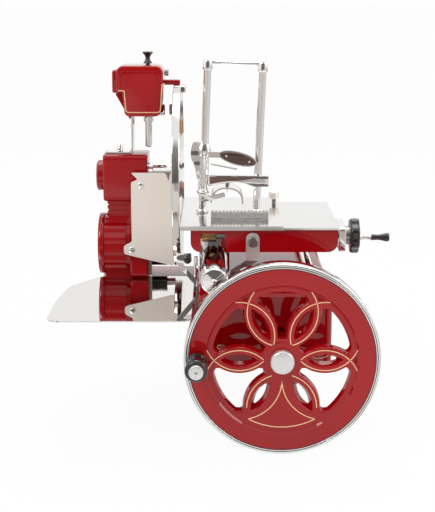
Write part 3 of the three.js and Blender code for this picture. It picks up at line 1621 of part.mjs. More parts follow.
function makeFlywheel() {
  const rimProfile = [
    [rimInner, -wheelDepth + rimGroove],
    [rimInner + rimGroove, -wheelDepth],
    [tyreOuter - tyreThick - gap, -wheelDepth],
    [tyreOuter - tyreThick - gap, 0],
    [rimBandInner, 0],
    [rimBandInner - rimGroove, -rimGroove],
    [rimInner, -rimGroove],
  ];
  const rim = ring("z", rimProfile, 0, 0, 0, wheelSides);
  let plate = rod("z", rimInner + overrun, -plateDepth - plateInset, -plateInset, 0, 0, wheelSides);
  const bottomPetal = 4;
  const back = -plateDepth - plateInset - overrun;
  const rimOpening = cone("z", windowReach - 2 * petalDraft, windowReach, back, overrun, 0, 0, wheelSides);
  for (let i = 0; i < petalCount; i += 1) {
    const here = petalCentre(i);
    const before = petalCentre(i - 1);
    const after = petalCentre(i + 1);
    const bands = [
      draftedRod(petalBandOuter, -petalDraft, before),
      draftedRod(petalBandOuter, -petalDraft, after),
    ];
    if (i !== bottomPetal) {
      const opening = cut(
        common(draftedRod(petalBandInner, petalDraft, here), rimOpening),
        ...bands,
      );
      plate = cut(plate, opening);
    }
    const eye = common(
      draftedRod(petalBandInner, petalDraft, here),
      draftedRod(petalBandInner, petalDraft, after),
    );
    plate = cut(plate, eye);
  }
  const hub = rod("z", hubRingRadius, -wheelDepth - hubBack, -plateInset / 2, 0, 0, roundSides);
  const shaftBore = rod("z", wheelShaftRadius + gap, -wheelDepth - hubBack - overrun, -plateDepth, 0, 0);
  const pinBore = rod("z", crankPinRadius + gap, -wheelDepth / 2, overrun, -crankRadius, 0, smallSides);
  let casting = join(rim, plate, hub);
  for (let i = 0; i < petalCount; i += 1) {
    if (i !== bottomPetal && i !== bottomPetal - 1) {
      casting = cut(casting, rimRecess(i));
    }
  }
  addPiece(flywheel, "flywheel_casting", cut(casting, shaftBore, pinBore), redPaint);
  const tyreEdge = tyreThick / 3;
  const tyreInner = tyreOuter - tyreThick;
  const tyreProfile = [
    [tyreInner, -wheelDepth],
    [tyreOuter, -wheelDepth],
    [tyreOuter, -tyreEdge],
    [tyreOuter - tyreEdge, 0],
    [tyreInner, 0],
  ];
  addPiece(flywheel, "flywheel_tyre", ring("z", tyreProfile, 0, 0, 0, wheelSides), chrome);
  const capProfile = [
    [0, 0],
    [hubCapRadius, 0],
    [hubCapRadius, hubCapHeight * 0.75],
    [hubCapRadius * 0.9, hubCapHeight],
    [0, hubCapHeight],
  ];
  addPiece(flywheel, "hub_cap", turned("z", capProfile, 0, 0, gap - plateInset / 2), chrome);
}

// The three-cornered recess between two petals where their bands run into the rim
function rimRecess(index) {
  const floor = -recessDepth;
  const reach = rod("z", rimRecessRadius, floor, overrun, 0, 0, wheelSides);
  const petals = [petalCentre(index), petalCentre(index + 1)];
  const turn = (2 * Math.PI * (index + 1)) / petalCount;
  const place = [rimRecessRadius * Math.cos(turn), rimRecessRadius * Math.sin(turn)];
  const wedge = rod("z", petalBandInner / 2, floor, overrun, ...place);
  return cut(
    common(reach, wedge),
    ...petals.map(([x, y]) => rod("z", petalBandOuter, floor - overrun, 2 * overrun, x, y, roundSides)),
  );
}

function makeCrank() {
  const centre = [-crankRadius, 0];
  const gripEnd = gripStart + gripLengthAlong;
  const bore = crankPinRadius + gap;
  const gripProfile = [
    [bore, gripStart],
    [gripBaseRadius, gripStart],
    [gripBaseRadius, gripStart + gripLengthAlong * 0.12],
    [gripWaistRadius, gripStart + gripLengthAlong * 0.42],
    [gripWaistRadius * 1.15, gripStart + gripLengthAlong * 0.62],
    [gripEndRadius, gripStart + gripLengthAlong * 0.86],
    [gripEndRadius * 0.9, gripEnd],
    [bore, gripEnd],
  ];
  addPiece(flywheel, "crank_grip", ring("z", gripProfile, ...centre, 0), blackPlastic);
  const pinProfile = [
    [0, -wheelDepth / 2 + gap],
    [crankPinRadius, -wheelDepth / 2 + gap],
    [crankPinRadius, gap],
    [crankPinFlange, gap],
    [crankPinFlange, gripStart - gap],
    [crankPinRadius, gripStart - gap],
    [crankPinRadius, gripEnd + gap],
    [crankHeadRadius, gripEnd + gap],
    [crankHeadRadius, gripEnd + crankHeadHeight * 0.6],
    [crankHeadRadius * 0.75, gripEnd + crankHeadHeight],
    [0, gripEnd + crankHeadHeight],
  ];
  addPiece(flywheel, "crank_pin", turned("z", pinProfile, ...centre, 0, smallSides), chrome);
}

// Shafts and the bevel pair inside the base
function makeDrive() {
  const shaftFront = wheelFaceY + plateDepth + gap;
  const shaftEnd = wheelShaftEndY() + gearFaceShare * gearPitchRadius * 0.5;
  const shaft = rod("y", wheelShaftRadius, shaftFront, shaftEnd, wheelAxisZ, wheelAxisX);
  addPiece(slicer, "flywheel_shaft", shaft, darkSteel);
  const wheelGear = bevelGear(wheelShaftRadius + gap, 0);
  const gearApex = new THREE.Matrix4().makeTranslation(wheelAxisX, gearApexY, wheelAxisZ);
  wheelGear.applyMatrix4(axisBasis.y).applyMatrix4(gearApex);
  addPiece(slicer, "flywheel_bevel_gear", wheelGear, bronze);
  const crossGear = bevelGear(crossShaftRadius + gap, Math.PI / gearTeeth);
  crossGear.applyMatrix4(axisBasis.x).applyMatrix4(gearApex);
  addPiece(slicer, "cross_bevel_gear", crossGear, bronze);
  const crossEnd = wheelAxisX - gearPitchRadius * (1 - gearFaceShare) - gap;
  const cross = rod("x", crossShaftRadius, crossShaftLeft(), crossEnd, gearApexY, wheelAxisZ);
  addPiece(slicer, "cross_shaft", cross, darkSteel);
}

// A straight bevel gear for shafts that cross at right angles. Its apex is at the origin and
// the gear lies towards -z, heel first, with a hub behind the heel.
function bevelGear(boreRadius, turn) {
  const heel = -gearPitchRadius;
  const toeShare = 1 - gearFaceShare;
  const tip = gearPitchRadius + gearAddendum;
  const root = gearPitchRadius - gearDedendum;
  const rootShare = toothWidthShare / 2;
  const shares = [-rootShare, -toothTipShare / 2, toothTipShare / 2, rootShare];
  const radii = [root, tip, tip, root];
  const outline = [];
  for (let i = 0; i < gearTeeth; i += 1) {
    shares.forEach((share, k) => {
      const angle = turn + (2 * Math.PI * (i + share)) / gearTeeth;
      outline.push([radii[k] * Math.cos(angle), radii[k] * Math.sin(angle)]);
    });
  }
  const count = outline.length;
  const positions = [];
  outline.forEach(([x, y]) => positions.push(x, y, heel));
  outline.forEach(([x, y]) => positions.push(x * toeShare, y * toeShare, heel * toeShare));
  positions.push(0, 0, heel, 0, 0, heel * toeShare);
  const faces = [];
  for (let i = 0; i < count; i += 1) {
    const next = (i + 1) % count;
    faces.push(i, next, count + next, i, count + next, count + i);
    faces.push(2 * count, next, i);
    faces.push(2 * count + 1, count + i, count + next);
  }
  const geometry = new THREE.BufferGeometry();
  geometry.setAttribute("position", new THREE.Float32BufferAttribute(positions, 3));
  geometry.setIndex(faces);
  const hub = rod("z", gearHubRadius, heel - gearHubLength, heel + overrun);
  const bore = rod("z", boreRadius, 2 * heel, gearPitchRadius);
  return cut(join(geometry, hub), bore);
}

makeBase();
makeRails();
makeColumn();
makeKnife();
makeGuard();
makeSideLever();
makeDeflectorAndTray();
makeCarriage();
makeCarriageFittings();
makeFeedScrew();
makeMeatTable();
makePressFrame();
makePress();
makeSharpener();
makeFlywheel();
makeCrank();
makeDrive();

export default slicer;
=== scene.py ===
import json
import math

import bmesh
import bpy
from mathutils import Matrix, Vector


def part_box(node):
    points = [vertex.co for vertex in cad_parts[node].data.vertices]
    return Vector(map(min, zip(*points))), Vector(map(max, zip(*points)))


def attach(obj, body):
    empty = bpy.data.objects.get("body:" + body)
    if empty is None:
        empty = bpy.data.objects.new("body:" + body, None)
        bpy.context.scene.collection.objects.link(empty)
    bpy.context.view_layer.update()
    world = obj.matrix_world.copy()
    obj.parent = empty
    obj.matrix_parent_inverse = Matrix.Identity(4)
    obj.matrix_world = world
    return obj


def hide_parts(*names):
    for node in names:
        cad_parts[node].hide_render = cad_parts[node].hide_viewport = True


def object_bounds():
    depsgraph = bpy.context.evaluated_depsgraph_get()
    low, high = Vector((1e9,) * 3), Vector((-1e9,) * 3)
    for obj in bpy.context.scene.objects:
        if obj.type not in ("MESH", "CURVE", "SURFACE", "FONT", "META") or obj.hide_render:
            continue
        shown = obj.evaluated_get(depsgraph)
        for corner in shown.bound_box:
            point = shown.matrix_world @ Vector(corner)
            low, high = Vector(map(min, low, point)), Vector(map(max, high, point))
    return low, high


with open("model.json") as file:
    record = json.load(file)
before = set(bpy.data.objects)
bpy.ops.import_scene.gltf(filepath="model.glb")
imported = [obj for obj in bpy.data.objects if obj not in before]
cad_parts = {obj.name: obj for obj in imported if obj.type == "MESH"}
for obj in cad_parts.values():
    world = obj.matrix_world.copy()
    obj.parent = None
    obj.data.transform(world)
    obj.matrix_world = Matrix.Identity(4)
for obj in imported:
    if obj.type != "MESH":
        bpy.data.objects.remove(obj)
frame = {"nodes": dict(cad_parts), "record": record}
nodes = frame["nodes"]
cadLow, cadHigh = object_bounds()
mm = 0.001
bpy.context.scene.view_settings.view_transform = "Standard"
print("frame loaded:", len(nodes), "nodes")

# Camera, standing in front of the machine and looking a little down on it
cameraSetup = {
    "place": (-0.084, -2.3284, 0.66305),
    "pitchDegrees": 12.41,
    "lens": 86.55,
    "sensor": 36,
    "clipEnd": 60,
}
cameraData = bpy.data.cameras.new("camera")
cameraData.lens = cameraSetup["lens"]
cameraData.sensor_width = cameraSetup["sensor"]
cameraData.sensor_fit = "AUTO"
cameraData.clip_end = cameraSetup["clipEnd"]
camera = bpy.data.objects.new("camera", cameraData)
camera.location = cameraSetup["place"]
camera.rotation_euler = (math.radians(90 - cameraSetup["pitchDegrees"]), 0, 0)
bpy.context.scene.collection.objects.link(camera)
bpy.context.scene.camera = camera

# Studio: soft lamps, and a world and a pale floor whose tones metal mirrors as streaks
studio = {
    "fill": 0.62,
    "white": (1, 1, 1, 1),
    "floorDrop": 0.0015,
    "floorSize": 90,
    "floorPaleness": 0.95,
    "floorMatte": (0.9, 0.9, 0.9, 1),
    "tones": {
        "pale": (0.90, 0.885, 0.87), "silver": (0.78, 0.76, 0.74), "grey": (0.48, 0.44, 0.42),
        "dark": (0.11, 0.075, 0.065), "brown": (0.36, 0.20, 0.12), "far": (0.60, 0.57, 0.55),
        "front": (0.13, 0.13, 0.1274), "side": (0.286, 0.273, 0.26), "bright": (1, 1, 1),
    },
    "worldTones": [(0.0, "front"), (0.09, "side"), (0.21, "bright"), (1.0, "bright")],
    # floor tones in front of the machine fan out sideways: near it, then in the room beyond
    "roomFrom": -1.85,
    "paleFrom": -1.62,
    "fanWiden": -2,
    "fanNarrowest": 0.1,
    "roomStreaks": [
        (0.0, "grey"), (0.09, "grey"), (0.12, "silver"), (0.26, "silver"), (0.28, "dark"), (0.32, "dark"),
        (0.34, "pale"), (0.60, "far"), (1.0, "far"),
    ],
    "nearStreaks": [
        (0.0, "pale"), (0.24, "pale"), (0.27, "dark"), (0.31, "dark"), (0.34, "pale"), (0.62, "silver"),
        (0.66, "brown"), (0.74, "dark"), (0.78, "silver"),
    ],
    # behind the machine they run across
    "backFrom": 0.9,
    "backReach": 8,
    "backStreaks": [
        (0.0, "silver"), (0.22, "silver"), (0.225, "grey"), (0.285, "far"), (0.29, "dark"), (0.315, "dark"),
        (0.32, "brown"), (0.335, "brown"), (0.34, "pale"), (0.385, "pale"), (0.39, "dark"), (0.405, "dark"),
        (0.41, "pale"), (0.47, "pale"), (0.475, "silver"), (0.55, "silver"), (0.555, "brown"),
        (0.64, "brown"), (0.645, "grey"), (0.72, "dark"), (0.785, "grey"), (0.79, "pale"), (1.0, "pale"),
    ],
    "lampAim": (0, 0, 0.2),
    "lamps": [
        ("keyLamp", (-2.2, -2.6, 2.9), 1.6, 46),
        ("sideLamp", (2.8, -1.2, 1.8), 1.5, 26),
        ("topLamp", (0.2, 0.9, 3.2), 2.2, 40),
    ],
}


def addLamp(name, place, size, power):
    data = bpy.data.lights.new(name, "AREA")
    data.size = size
    data.energy = power
    lamp = bpy.data.objects.new(name, data)
    lamp.location = place
    aim = Vector(studio["lampAim"]) - Vector(place)
    lamp.rotation_euler = aim.to_track_quat("-Z", "Y").to_euler()
    bpy.context.scene.collection.objects.link(lamp)


for lampSetup in studio["lamps"]:
    addLamp(*lampSetup)


# Helpers that put materials together
def feed(tree, node, values):
    # values: for each input a number, a colour or the socket that feeds it
    for key, value in values.items():
        if isinstance(value, bpy.types.NodeSocket):
            tree.links.new(value, node.inputs[key])
        else:
            node.inputs[key].default_value = value
    return node


def addNode(tree, kind, values=None, **settings):
    node = tree.nodes.new("ShaderNode" + kind)
    for key, value in settings.items():
        setattr(node, key, value)
    return feed(tree, node, values or {})


def calculate(tree, operation, *values):
    return addNode(tree, "Math", dict(enumerate(values)), operation=operation).outputs[0]


def mapRange(tree, value, source, target, kind="LINEAR"):
    return addNode(tree, "MapRange", {
        "From Min": source[0], "From Max": source[1], "To Min": target[0], "To Max": target[1],
        "Value": value,
    }, interpolation_type=kind).outputs[0]


def colourRamp(tree, value, stops, kind="LINEAR"):
    # stops: a position and a colour, or the name of one of the studio's tones
    ramp = addNode(tree, "ValToRGB", {"Fac": value})
    ramp.color_ramp.interpolation = kind
    elements = ramp.color_ramp.elements
    for i, (position, tone) in enumerate(stops):
        element = elements[i] if i < len(elements) else elements.new(position)
        element.position = position
        element.color = (*(studio["tones"][tone] if isinstance(tone, str) else tone), 1)
    return ramp.outputs["Color"]


def blendColour(tree, share, first, second):
    mix = addNode(tree, "Mix", {"Factor": share, "A": first, "B": second}, data_type="RGBA")
    return mix.outputs["Result"]


def mixShader(tree, share, first, second):
    return addNode(tree, "MixShader", {0: share, 1: first, 2: second}).outputs[0]


def splitAxes(tree, coordinates):
    coords = addNode(tree, "TexCoord").outputs[coordinates]
    return addNode(tree, "SeparateXYZ", {0: coords}).outputs


def paleRays(tree):
    # seen is 1 for what the camera or a clear body sees, and 0 for light that falls on a surface
    path = addNode(tree, "LightPath").outputs
    seen = calculate(tree, "MAXIMUM", path["Is Camera Ray"], path["Is Transmission Ray"])
    return path["Is Glossy Ray"], seen


def newMaterial(name):
    material = bpy.data.materials.new(name)
    material.use_nodes = True
    return material, material.node_tree


def makeObject(name, bm):
    mesh = bpy.data.meshes.new(name)
    bm.to_mesh(mesh)
    bm.free()
    made = bpy.data.objects.new(name, mesh)
    bpy.context.scene.collection.objects.link(made)
    return made


def makeWorld():
    world = bpy.data.worlds.new("studio")
    bpy.context.scene.world = world
    world.use_nodes = True
    tree = world.node_tree
    tree.nodes.clear()
    mirrored, seen = paleRays(tree)
    away = mapRange(tree, splitAxes(tree, "Generated")["Y"], (-1, 1), (0, 1))
    mirror = addNode(tree, "Background", {"Color": colourRamp(tree, away, studio["worldTones"], "EASE")})
    fill = addNode(tree, "Background", {"Strength": studio["fill"], "Color": studio["white"]})
    backdrop = addNode(tree, "Background", {"Color": studio["white"]})
    lit = mixShader(tree, mirrored, fill.outputs[0], mirror.outputs[0])
    addNode(tree, "OutputWorld", {"Surface": mixShader(tree, seen, lit, backdrop.outputs[0])})


def makeFloor():
    bm = bmesh.new()
    bmesh.ops.create_grid(bm, x_segments=1, y_segments=1, size=studio["floorSize"] / 2)
    bmesh.ops.translate(bm, verts=bm.verts, vec=(0, 0, cadLow.z - studio["floorDrop"]))
    floor = makeObject("floor", bm)
    material, tree = newMaterial("paleFloor")
    tree.nodes.clear()
    mirrored, seen = paleRays(tree)
    share = calculate(tree, "MULTIPLY", calculate(tree, "MAXIMUM", seen, mirrored), studio["floorPaleness"])
    place = splitAxes(tree, "Object")
    aside = calculate(tree, "ABSOLUTE", place["X"])
    widening = calculate(tree, "MULTIPLY", place["Y"], studio["fanWiden"])
    spread = calculate(tree, "DIVIDE", aside, calculate(tree, "MAXIMUM", widening, studio["fanNarrowest"]))
    near = colourRamp(tree, spread, studio["nearStreaks"])
    far = colourRamp(tree, spread, studio["roomStreaks"])
    inRoom = mapRange(tree, place["Y"], (studio["roomFrom"], studio["paleFrom"]), (1, 0), "SMOOTHSTEP")
    along = calculate(tree, "DIVIDE", place["Y"], studio["backReach"])
    behind = colourRamp(tree, along, studio["backStreaks"])
    isBehind = calculate(tree, "GREATER_THAN", place["Y"], studio["backFrom"])
    tones = blendColour(tree, isBehind, blendColour(tree, inRoom, near, far), behind)
    glow = addNode(tree, "Emission", {"Color": blendColour(tree, mirrored, studio["white"], tones)})
    matte = addNode(tree, "BsdfDiffuse", {"Color": studio["floorMatte"]})
    addNode(tree, "OutputMaterial", {"Surface": mixShader(tree, share, matte.outputs[0], glow.outputs[0])})
    floor.data.materials.append(material)


makeWorld()
makeFloor()
print("studio ready")

# What a finish has where it names nothing else
plainFinish = {
    "metallic": 1.0, "specular": 0.5, "coat": 0.0, "coatRough": 0.04, "stretch": (1, 1, 1), "detail": 5,
    "cloudSize": 5, "cloudDetail": 3, "cloudRange": (0.3, 0.62), "grainRange": (0.3, 0.7),
    "bumpStrength": 0.6, "edgeSamples": 4,
}
finishes = {
    "redEnamel": {
        "slot": "red_paint", "color": (0.38, 0.003, 0.006), "darker": (0.33, 0.002, 0.004), "metallic": 0.0,
        "rough": (0.30, 0.40), "grain": 38, "bump": 0.00004, "coat": 1.0, "edge": 0.9, "specular": 0.0,
    },
    "chrome": {
        "slot": "chrome", "color": (0.90, 0.89, 0.88), "darker": (0.84, 0.83, 0.82),
        "rough": (0.03, 0.07), "grain": 22, "bump": 0.00002, "edge": 0.5,
    },
    "mirrorSteel": {
        "slot": "polished_steel", "color": (0.78, 0.76, 0.74), "darker": (0.75, 0.73, 0.71),
        "rough": (0.015, 0.03), "grain": 12, "bump": 0.000002, "edge": 0.3,
    },
    "polishedSteel": {
        "slot": "polished_steel", "color": (0.81, 0.80, 0.78), "darker": (0.76, 0.75, 0.73),
        "rough": (0.08, 0.15), "grain": 30, "bump": 0.00002, "edge": 0.4, "stretch": (60, 3, 3),
    },
    "castChrome": {
        "slot": "chrome", "color": (0.88, 0.86, 0.85), "darker": (0.80, 0.78, 0.77),
        "rough": (0.03, 0.07), "grain": 26, "bump": 0.007, "edge": 0.8, "detail": 0.5,
    },
    "guardSteel": {
        "slot": "polished_steel", "color": (0.80, 0.77, 0.745), "darker": (0.62, 0.58, 0.55),
        "rough": (0.05, 0.12), "grain": 24, "bump": 0.004, "edge": 0.6, "detail": 0.5,
    },
    "brownChrome": {
        "slot": "chrome", "color": (0.30, 0.21, 0.18), "darker": (0.13, 0.085, 0.075),
        "rough": (0.10, 0.2), "grain": 60, "bump": 0.0, "edge": 0.2,
    },
    "brownSteel": {
        "slot": "chrome", "color": (0.42, 0.33, 0.30), "darker": (0.13, 0.09, 0.08), "metallic": 0.9,
        "rough": (0.18, 0.34), "grain": 600, "bump": 0.0, "edge": 0.1,
    },
    # cream and mostly matte: on the deflector the cream is a painted reflection of a warm wall on satin steel
    "creamTintAndPaintedReflection": {
        "slot": "polished_steel", "color": (0.97, 0.89, 0.81), "darker": (0.94, 0.86, 0.78), "metallic": 0.28,
        "rough": (0.30, 0.40), "grain": 16, "bump": 0.00003, "edge": 0.4,
    },
    "paleSteel": {
        "slot": "polished_steel", "color": (0.80, 0.79, 0.77), "darker": (0.75, 0.74, 0.72), "metallic": 0.6,
        "rough": (0.22, 0.32), "grain": 20, "bump": 0.0, "edge": 0.3,
    },
    "darkSteel": {
        "slot": "dark_steel", "color": (0.40, 0.38, 0.36), "darker": (0.26, 0.25, 0.24),
        "rough": (0.22, 0.42), "grain": 50, "bump": 0.00006, "edge": 0.5,
    },
    "blackGloss": {
        "slot": "black_plastic", "color": (0.014, 0.011, 0.010), "darker": (0.008, 0.007, 0.006),
        "metallic": 0.0, "rough": (0.16, 0.28), "grain": 45, "bump": 0.00003, "coat": 0.6, "edge": 0.6,
    },
    "bronze": {
        "slot": "bronze", "color": (0.42, 0.25, 0.11), "darker": (0.28, 0.16, 0.07),
        "rough": (0.24, 0.42), "grain": 60, "bump": 0.00005, "edge": 0.4,
    },
    "goldPaint": {
        "slot": "bronze", "color": (0.96, 0.66, 0.37), "darker": (0.88, 0.55, 0.27), "metallic": 0.1,
        "rough": (0.30, 0.42), "grain": 120, "bump": 0.00002, "coat": 0.5, "edge": 0.0,
    },
    "grindStone": {
        "slot": "stone", "color": (0.42, 0.40, 0.38), "darker": (0.30, 0.29, 0.28), "metallic": 0.0,
        "rough": (0.85, 0.95), "grain": 900, "bump": 0.00025, "edge": 0.3,
    },
    # near black: painted shade in the tyre's groove and in the screws' slots, and a painted shadow where the
    # tyre meets the casting
    "paintedGrooveShade": {
        "slot": "black_plastic", "color": (0.03, 0.016, 0.016), "darker": (0.02, 0.010, 0.010),
        "metallic": 0.0, "rough": (0.35, 0.5), "grain": 60, "bump": 0.00002, "edge": 0.0,
    },
}
wood = {
    "slot": "brown_wood", "dark": (0.040, 0.018, 0.013), "light": (0.11, 0.050, 0.038), "darkTo": 0.36,
    "lightFrom": 0.66, "stretch": (0.12, 1, 1), "leanDegrees": 12, "rings": 260, "ringDetail": 6,
    "ringWaves": 0.8, "pores": 1400, "poreDepth": 0.00008, "rough": 0.34, "coat": 0.3,
}


def makeFinish(name, own):
    look = {**plainFinish, **own}
    material, tree = newMaterial(name)
    coords = addNode(tree, "TexCoord").outputs["Object"]
    place = addNode(tree, "Mapping", {"Scale": look["stretch"], "Vector": coords}).outputs[0]
    grain = addNode(tree, "TexNoise", {
        "Scale": look["grain"], "Detail": look["detail"], "Vector": place,
    }).outputs["Fac"]
    cloud = addNode(tree, "TexNoise", {
        "Scale": look["grain"] / look["cloudSize"], "Detail": look["cloudDetail"], "Vector": coords,
    }).outputs["Fac"]
    shade = mapRange(tree, cloud, look["cloudRange"], (0, 1))
    bump = addNode(tree, "Bump", {
        "Distance": look["bump"], "Strength": look["bumpStrength"], "Height": grain,
    })
    if look["edge"]:
        edge = addNode(tree, "Bevel", {"Radius": look["edge"] * mm}, samples=look["edgeSamples"])
        feed(tree, bump, {"Normal": edge.outputs[0]})
    feed(tree, tree.nodes["Principled BSDF"], {
        "Metallic": look["metallic"], "Specular IOR Level": look["specular"], "Coat Weight": look["coat"],
        "Coat Roughness": look["coatRough"], "Normal": bump.outputs[0],
        "Roughness": mapRange(tree, grain, look["grainRange"], look["rough"]),
        "Base Color": blendColour(tree, shade, (*look["darker"], 1), (*look["color"], 1)),
    })
    return material


def makeWood(name):
    material, tree = newMaterial(name)
    coords = addNode(tree, "TexCoord").outputs["Object"]
    lean = (0, math.radians(wood["leanDegrees"]), 0)
    place = addNode(tree, "Mapping", {
        "Scale": wood["stretch"], "Rotation": lean, "Vector": coords,
    }).outputs[0]
    rings = addNode(tree, "TexNoise", {
        "Scale": wood["rings"], "Detail": wood["ringDetail"], "Distortion": wood["ringWaves"],
        "Vector": place,
    }).outputs["Fac"]
    pores = addNode(tree, "TexNoise", {"Scale": wood["pores"], "Vector": place}).outputs["Fac"]
    bump = addNode(tree, "Bump", {"Distance": wood["poreDepth"], "Height": pores})
    stops = [(wood["darkTo"], wood["dark"]), (wood["lightFrom"], wood["light"])]
    feed(tree, tree.nodes["Principled BSDF"], {
        "Roughness": wood["rough"], "Coat Weight": wood["coat"], "Normal": bump.outputs[0],
        "Base Color": colourRamp(tree, rings, stops),
    })
    return material


finish = {name: makeFinish(name, look) for name, look in finishes.items()}
finish["darkWood"] = makeWood("darkWood")
print("finishes ready:", len(finish))

finishOfSlot = {
    "red_paint": "redEnamel", "chrome": "chrome", "polished_steel": "polishedSteel",
    "dark_steel": "darkSteel", "black_plastic": "blackGloss", "bronze": "bronze",
    "stone": "grindStone", "brown_wood": "darkWood",
}
bodyOfNode = {n: b for b, members in frame["record"]["behaviour"]["bodies"].items() for n in members}
slotOfNode = {s["node"]: s["material_slot"] for s in frame["record"]["subparts"]}
# the deflector's cream finish paints the warm reflection that its satin steel shows
otherFinish = {
    "slice_deflector": "creamTintAndPaintedReflection", "toothed_strip": "paleSteel", "rail_saddle": "castChrome",
    "slice_tray": "mirrorSteel", "press_beam": "castChrome", "press_grip_frame": "castChrome",
    "side_lever": "castChrome", "feed_end_housing": "castChrome", "trip_bracket": "paleSteel",
}
rebuilt = set()

# How every piece is joined, softened and shaded
making = {
    "weld": 0.000002,
    "softenDegrees": 28,
    "smoothDegrees": 38,
    "cornerSegments": 6,
    "flat": 0.00001,
}


def shadeByAngle(bm):
    limit = math.radians(making["smoothDegrees"])
    for face in bm.faces:
        face.smooth = True
    for edge in bm.edges:
        edge.smooth = len(edge.link_faces) == 2 and edge.calc_face_angle(0) < limit


def addPiece(name, bm, finishName, body, standsFor=(), place=None, smooth=True):
    if place is not None:
        bmesh.ops.transform(bm, matrix=place, verts=bm.verts)
    if smooth:
        shadeByAngle(bm)
    piece = makeObject(name, bm)
    piece.data.materials.append(finish[finishName])
    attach(piece, body)
    if standsFor:
        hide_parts(*standsFor)
        rebuilt.update(standsFor)


def closeUp(bm):
    bmesh.ops.remove_doubles(bm, verts=bm.verts, dist=making["weld"])
    bmesh.ops.recalc_face_normals(bm, faces=bm.faces)


def bevelBy(bm, geom, width, segments, affect="EDGES", clamp=True):
    bmesh.ops.bevel(
        bm, geom=geom, offset=width * mm, offset_type="OFFSET", affect=affect, segments=segments,
        profile=0.5, clamp_overlap=clamp, material=-1,
    )


def softenEdges(bm, width, segments=2, degrees=making["softenDegrees"]):
    limit = math.radians(degrees)
    sharp = [e for e in bm.edges if len(e.link_faces) == 2 and e.calc_face_angle(0) > limit]
    bevelBy(bm, sharp, width, segments)


def vertsIn(geom):
    return [g for g in geom if isinstance(g, bmesh.types.BMVert)]


def raiseFaces(bm, rise):
    grown = bmesh.ops.extrude_face_region(bm, geom=list(bm.faces))["geom"]
    bmesh.ops.translate(bm, verts=vertsIn(grown), vec=(0, 0, rise))


def joinTo(bm, other):
    mesh = bpy.data.meshes.new("joined")
    other.to_mesh(mesh)
    other.free()
    bm.from_mesh(mesh)
    bpy.data.meshes.remove(mesh)


# Round pieces are turned: half a section is drawn beside the axis and spun round it
axes = {
    "x": (Vector((1, 0, 0)), Vector((0, 0, 1))),
    "y": (Vector((0, 1, 0)), Vector((0, 0, 1))),
    "toOperator": (Vector((0, -1, 0)), Vector((0, 0, 1))),
    "z": (Vector((0, 0, 1)), Vector((1, 0, 0))),
}


def spinSection(bm, axis, foot, section, steps=72, hollow=False):
    # section: pairs of radius and distance along the axis from its foot, in mm
    along, out = axes[axis]
    foot = Vector(foot)
    verts = [bm.verts.new(foot + along * far * mm + out * radius * mm) for radius, far in section]
    edges = [bm.edges.new(pair) for pair in zip(verts, verts[1:])]
    if hollow:
        edges.append(bm.edges.new((verts[-1], verts[0])))
    bmesh.ops.spin(
        bm, geom=verts + edges, cent=foot, axis=along, angle=math.radians(360), steps=steps, use_merge=True,
    )


def turnedPiece(
    name, axis, foot, section, look, body, standsFor=(), steps=72, hollow=False, edge=0, place=None,
):
    bm = bmesh.new()
    spinSection(bm, axis, foot, section, steps, hollow)
    closeUp(bm)
    if edge:
        softenEdges(bm, edge)
    addPiece(name, bm, look, body, standsFor, place)


def middleOf(node):
    low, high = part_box(node)
    return (low + high) / 2


def footOf(node, axis, atHighEnd=False):
    # the middle of a node's box, moved to one of its ends
    foot = middleOf(node)
    side = "xyz".index(axis)
    foot[side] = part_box(node)[atHighEnd][side]
    return foot


def turnedNode(name, node, axis, look, section, atHighEnd=False, standsFor=True, **shape):
    # as turnedPiece, on a CAD node's own axis; a third value in a section's point counts its distance
    # on from that many mm before the node's far end
    low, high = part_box(node)
    side = "xyz".index(axis)
    length = (high[side] - low[side]) / mm
    points = [(radius, length - before[0] + far if before else far) for radius, far, *before in section]
    turnedPiece(
        name, axis, footOf(node, axis, atHighEnd), points, look, bodyOfNode[node],
        [node] if standsFor else (), **shape,
    )


def roundedBox(bm, low, high, edge, segments=3):
    # low and high corners in mm
    box = bmesh.new()
    bmesh.ops.create_cube(box, size=1)
    size = [(h - l) * mm for l, h in zip(low, high)]
    bmesh.ops.scale(box, vec=size, verts=box.verts)
    bmesh.ops.translate(box, vec=[(h + l) / 2 * mm for l, h in zip(low, high)], verts=box.verts)
    if edge:
        softenEdges(box, edge, segments)
    joinTo(bm, box)


def slabOutline(corners, depth, edge=0, edgeSegments=3, place=None):
    # corners: across, up and the corner's rounding, in mm; the slab grows towards the operator
    bm = bmesh.new()
    verts = [bm.verts.new((u * mm, v * mm, 0)) for u, v, rounding in corners]
    bm.faces.new(verts)
    for vert, (u, v, rounding) in zip(verts, corners):
        if rounding:
            bevelBy(bm, [vert], rounding, making["cornerSegments"], "VERTICES", False)
    raiseFaces(bm, depth * mm)
    closeUp(bm)
    if edge:
        rims = [e for e in bm.edges if abs(e.verts[0].co.z - e.verts[1].co.z) < making["flat"]]
        bevelBy(bm, rims, edge, edgeSegments)
    if place is not None:
        bmesh.ops.transform(bm, matrix=place, verts=bm.verts)
    return bm


def carve(bm, steps):
    # steps: an operation and the solid it takes, in turn
    base = makeObject("carving", bm)
    tools = []
    for operation, shape in steps:
        tools.append(makeObject("carving", shape))
        modifier = base.modifiers.new("carve", "BOOLEAN")
        modifier.operation = operation
        modifier.solver = "EXACT"
        modifier.object = tools[-1]
    bpy.context.view_layer.update()
    graph = bpy.context.evaluated_depsgraph_get()
    mesh = bpy.data.meshes.new_from_object(base.evaluated_get(graph))
    for solid in [base, *tools]:
        bpy.data.objects.remove(solid)
    carved = bmesh.new()
    carved.from_mesh(mesh)
    bpy.data.meshes.remove(mesh)
    return carved


def frontPlane(place):
    # u runs to the right, v runs up and the face looks at the operator
    return Matrix.Translation(place) @ Matrix.Rotation(math.radians(90), 4, "X")


def towards(degrees):
    return math.cos(math.radians(degrees)), math.sin(math.radians(degrees))


